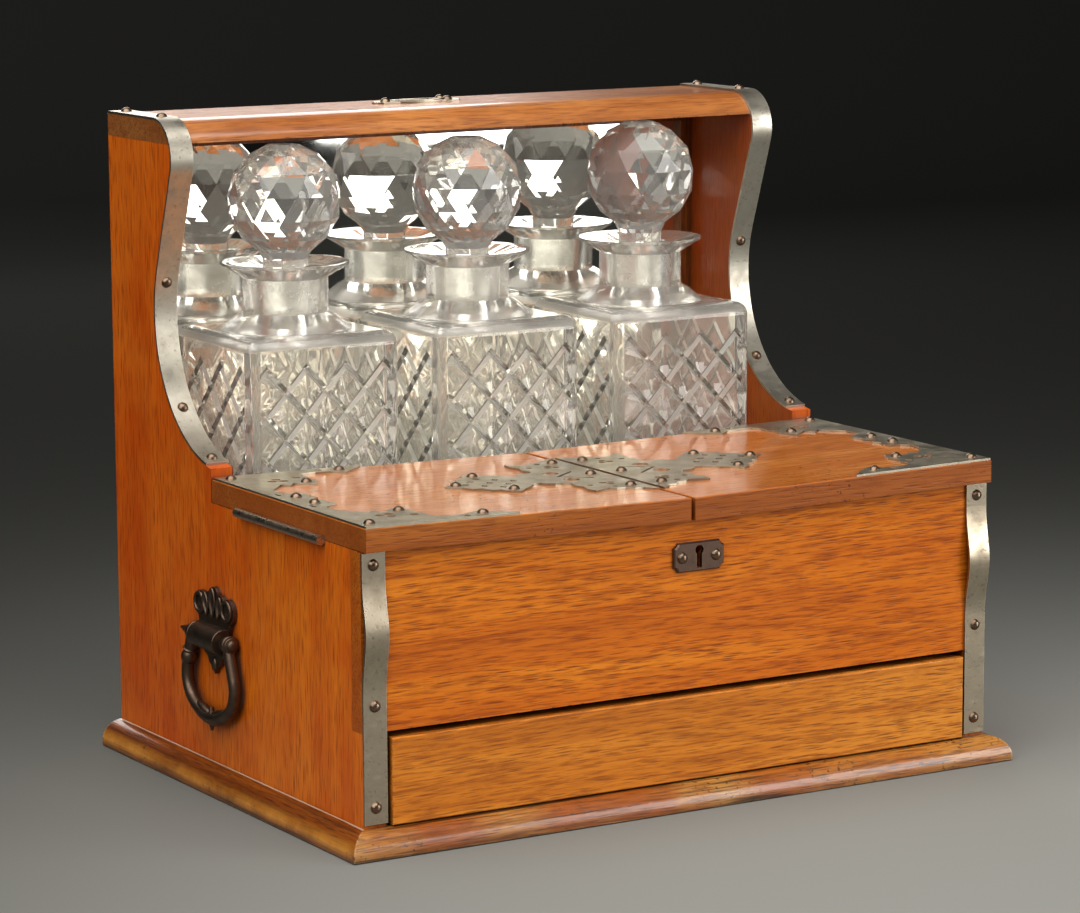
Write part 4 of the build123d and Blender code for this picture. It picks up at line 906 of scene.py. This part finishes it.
ring = {
    "axisOut": 0.1846,
    "hornFrom": 0.0245,  # how far along the axis the front horn is cut off
    "hornSlack": 0.0004,
    "hornAbove": 0.0045,  # the horn is found above this line, the arm below it
    "knobs": [  # along the axis, radius, half thickness: the button, then its two collars
        (0.0242, 0.0030, 0.0021),
        (0.0222, 0.0048, 0.0010),
        (0.0236, 0.0040, 0.0008),
    ],
    "beadAcross": 0.0244,
    "beadDown": 0.0136,
    "beadLean": 19.5,
    "bead": (0.0042, 0.0048, 0.0042),
    "beadCollar": (0.0041, 0.0007, 0.0041),
    "beadCollarUp": 0.0047,
    "leafAcross": 0.0082,
    "leafDown": 0.0367,
    "leafLean": 15,
    "leaf": (0.0078, 0.0017, 0.0024),
    "smoothAngle": 30,
}


def dressedRing(side):
    sideName = "left" if side < 0 else "right"
    body = sideName + "_bail"
    axis = Vector((side * ring["axisOut"], shell["axisDepth"], shell["axisHeight"]))
    bm = bmesh.new()
    bm.from_mesh(nodes[body].data)
    bmesh.ops.remove_doubles(bm, verts=bm.verts, dist=onePoint)
    horn = withEdges([
        face for face in bm.faces
        if max(axis.y - v.co.y for v in face.verts) > ring["hornFrom"] + ring["hornSlack"]
        and min(v.co.z for v in face.verts) > axis.z - ring["hornAbove"]
    ])
    cut, ahead = axis - Vector((0, ring["hornFrom"], 0)), (0, -1, 0)
    bmesh.ops.bisect_plane(bm, geom=horn, dist=onePoint, plane_co=cut, plane_no=ahead, clear_outer=True)
    bmesh.ops.holes_fill(bm, edges=[e for e in bm.edges if e.is_boundary], sides=0)
    # across runs towards the front, up is up, out is away from the case
    turn = Matrix.Translation(axis) @ Matrix(((0, 0, side, 0), (-1, 0, 0, 0), (0, 1, 0, 0), (0, 0, 0, 1)))
    for along, radius, half in ring["knobs"]:
        addBoss(bm, turn, (along, 0, 0), (half, radius, radius))
    # a bead with a collar above it sits on the rear arm only
    lean = radians(ring["beadLean"])
    bead = Vector((-ring["beadAcross"], -ring["beadDown"], 0))
    above = bead + Vector((sin(lean), cos(lean), 0)) * ring["beadCollarUp"]
    addBoss(bm, turn, bead, ring["bead"], -ring["beadLean"])
    addBoss(bm, turn, above, ring["beadCollar"], -ring["beadLean"])
    for hand in (-1, 1):
        leafPlace = (hand * ring["leafAcross"], -ring["leafDown"], 0)
        addBoss(bm, turn, leafPlace, ring["leaf"], hand * ring["leafLean"])
    bmesh.ops.recalc_face_normals(bm, faces=bm.faces)
    shadeByAngle(bm, ring["smoothAngle"])
    piece = newPiece(sideName + "RingHandle", bm, "bronze", body)
    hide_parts(body)
    return piece


for side in (-1, 1):
    piece = dressedRing(side)
print("ring handles made:", len(piece.data.polygons), "faces each")

# studio: floor, lights and camera

studio = {
    "paperTint": (1.05, 1.07, 1.00),
    "paperRoughness": 0.85,
    "poolCentre": (0.10, -0.50, 0.0),
    "poolReach": 3.2,
    "paintedLightFalloff": [  # distance from the middle of the painted pool of light, how bright the paper is painted there
        (0.16, 0.245), (0.40, 0.215), (0.63, 0.122), (0.87, 0.060), (1.11, 0.030),
        (1.40, 0.0200), (1.90, 0.0165), (2.50, 0.0210), (3.20, 0.030),
    ],
    "floorFront": -4.0,
    "floorBack": 2.2,
    "floorHalfWidth": 5.0,
    "bendRadius": 1.2,
    "bendSteps": 12,
    "wallHeight": 3.0,
    "worldColor": (0.39, 0.37, 0.34),
    "worldStrength": 0.235,
}


def paperWithPaintedLight():
    material, tree, shader = newMaterial("paperWithPaintedLight")
    away = addNode(
        tree, "VectorMath", {0: objectPlace(tree), 1: studio["poolCentre"]}, operation="DISTANCE",
    ).outputs["Value"]
    # the floor's tone is a painted pool of light, bright near the case and dark far away
    stops = [
        (distance / studio["poolReach"], tuple(tone * part for part in studio["paperTint"]))
        for distance, tone in studio["paintedLightFalloff"]
    ]
    share = calc(tree, "DIVIDE", away, studio["poolReach"])
    setShader(tree, shader, {
        "Base Color": ramp(tree, share, stops, "B_SPLINE"),
        "Roughness": studio["paperRoughness"],
        "Specular IOR Level": 0.0,
    })
    return material


def makeFloor():
    bm = bmesh.new()
    half, front = studio["floorHalfWidth"], studio["floorFront"]
    edge = bm.edges.new((bm.verts.new((-half, front, 0)), bm.verts.new((half, front, 0))))
    steps = [Vector((0, studio["floorBack"] - front, 0))]
    bend, bendStep = studio["bendRadius"], 90 / studio["bendSteps"]
    for index in range(studio["bendSteps"]):  # the paper curves up behind the case
        first, second = radians(index * bendStep), radians((index + 1) * bendStep)
        steps.append(Vector((0, bend * (sin(second) - sin(first)), bend * (cos(first) - cos(second)))))
    steps.append(Vector((0, 0, studio["wallHeight"])))
    for step in steps:
        moved = bmesh.ops.extrude_edge_only(bm, edges=[edge])["geom"]
        edge = next(item for item in moved if isinstance(item, bmesh.types.BMEdge))
        bmesh.ops.translate(bm, vec=step, verts=edge.verts)
    bmesh.ops.recalc_face_normals(bm, faces=bm.faces)
    for face in bm.faces:
        face.smooth = True
    meshObject("studioFloor", bm, paperWithPaintedLight())


lamps = {
    "overheadBox": dict(
        place=(-0.40, -0.30, 1.75), target=(0.0, 0.0, 0.15), size=(2.2, 1.7), power=43.0,
        color=(1.0, 0.97, 0.93),
    ),
    "leftBox": dict(
        place=(-2.0, -1.0, 1.35), target=(-0.1, 0.0, 0.12), size=(2.0, 1.5), power=29.0,
        color=(1.0, 0.96, 0.91),
    ),
    "rightPanel": dict(
        place=(2.13, -2.25, 0.93), target=(0.0, 0.0, 0.93), size=(1.75, 1.80), power=56.0,
        color=(1.0, 0.98, 0.95),
    ),
    "backFill": dict(
        place=(0.55, 2.0, 1.1), target=(0.0, 0.1, 0.1), size=(1.2, 1.0), power=14.5,
        color=(1.0, 0.97, 0.94),
    ),
}


def makeLamps():
    for name, lamp in lamps.items():
        light = bpy.data.lights.new(name, "AREA")
        light.shape = "RECTANGLE"
        light.size, light.size_y = lamp["size"]
        light.energy = lamp["power"]
        light.color = lamp["color"]
        holder = bpy.data.objects.new(name, light)
        holder.location = lamp["place"]
        ahead = Vector(lamp["target"]) - Vector(lamp["place"])
        holder.rotation_euler = ahead.to_track_quat("-Z", "Y").to_euler()
        bpy.context.scene.collection.objects.link(holder)
    world = bpy.data.worlds.new("studioAir")
    world.use_nodes = True
    background = world.node_tree.nodes["Background"]
    background.inputs[0].default_value = (*studio["worldColor"], 1.0)
    background.inputs[1].default_value = studio["worldStrength"]
    bpy.context.scene.world = world


photoCamera = {
    "place": (-1.0198, -1.69815, 0.4841),
    "yaw": -30.82,
    "pitch": -9.41,
    "roll": -0.30,
    "lens": 130.73,
    "filmWidth": 36.0,
    "nearest": 0.05,
}


def makeCamera():
    yaw, pitch, roll = (radians(photoCamera[key]) for key in ("yaw", "pitch", "roll"))
    ahead = Vector((sin(-yaw) * cos(pitch), cos(yaw) * cos(pitch), sin(pitch)))
    right = ahead.cross(Vector((0, 0, 1))).normalized()
    up = right.cross(ahead)
    rolledRight = right * cos(roll) + up * sin(roll)
    rolledUp = up * cos(roll) - right * sin(roll)
    data = bpy.data.cameras.new("photoCamera")
    data.sensor_width = photoCamera["filmWidth"]
    data.sensor_fit = "HORIZONTAL"
    data.lens = photoCamera["lens"]
    data.clip_start = photoCamera["nearest"]
    camera = bpy.data.objects.new("photoCamera", data)
    turn = Matrix((rolledRight, rolledUp, -ahead)).transposed().to_4x4()
    camera.matrix_world = Matrix.Translation(photoCamera["place"]) @ turn
    bpy.context.scene.collection.objects.link(camera)
    bpy.context.scene.camera = camera


makeFloor()
makeLamps()
makeCamera()
bpy.context.scene.view_settings.view_transform = "Standard"
print("studio ready")
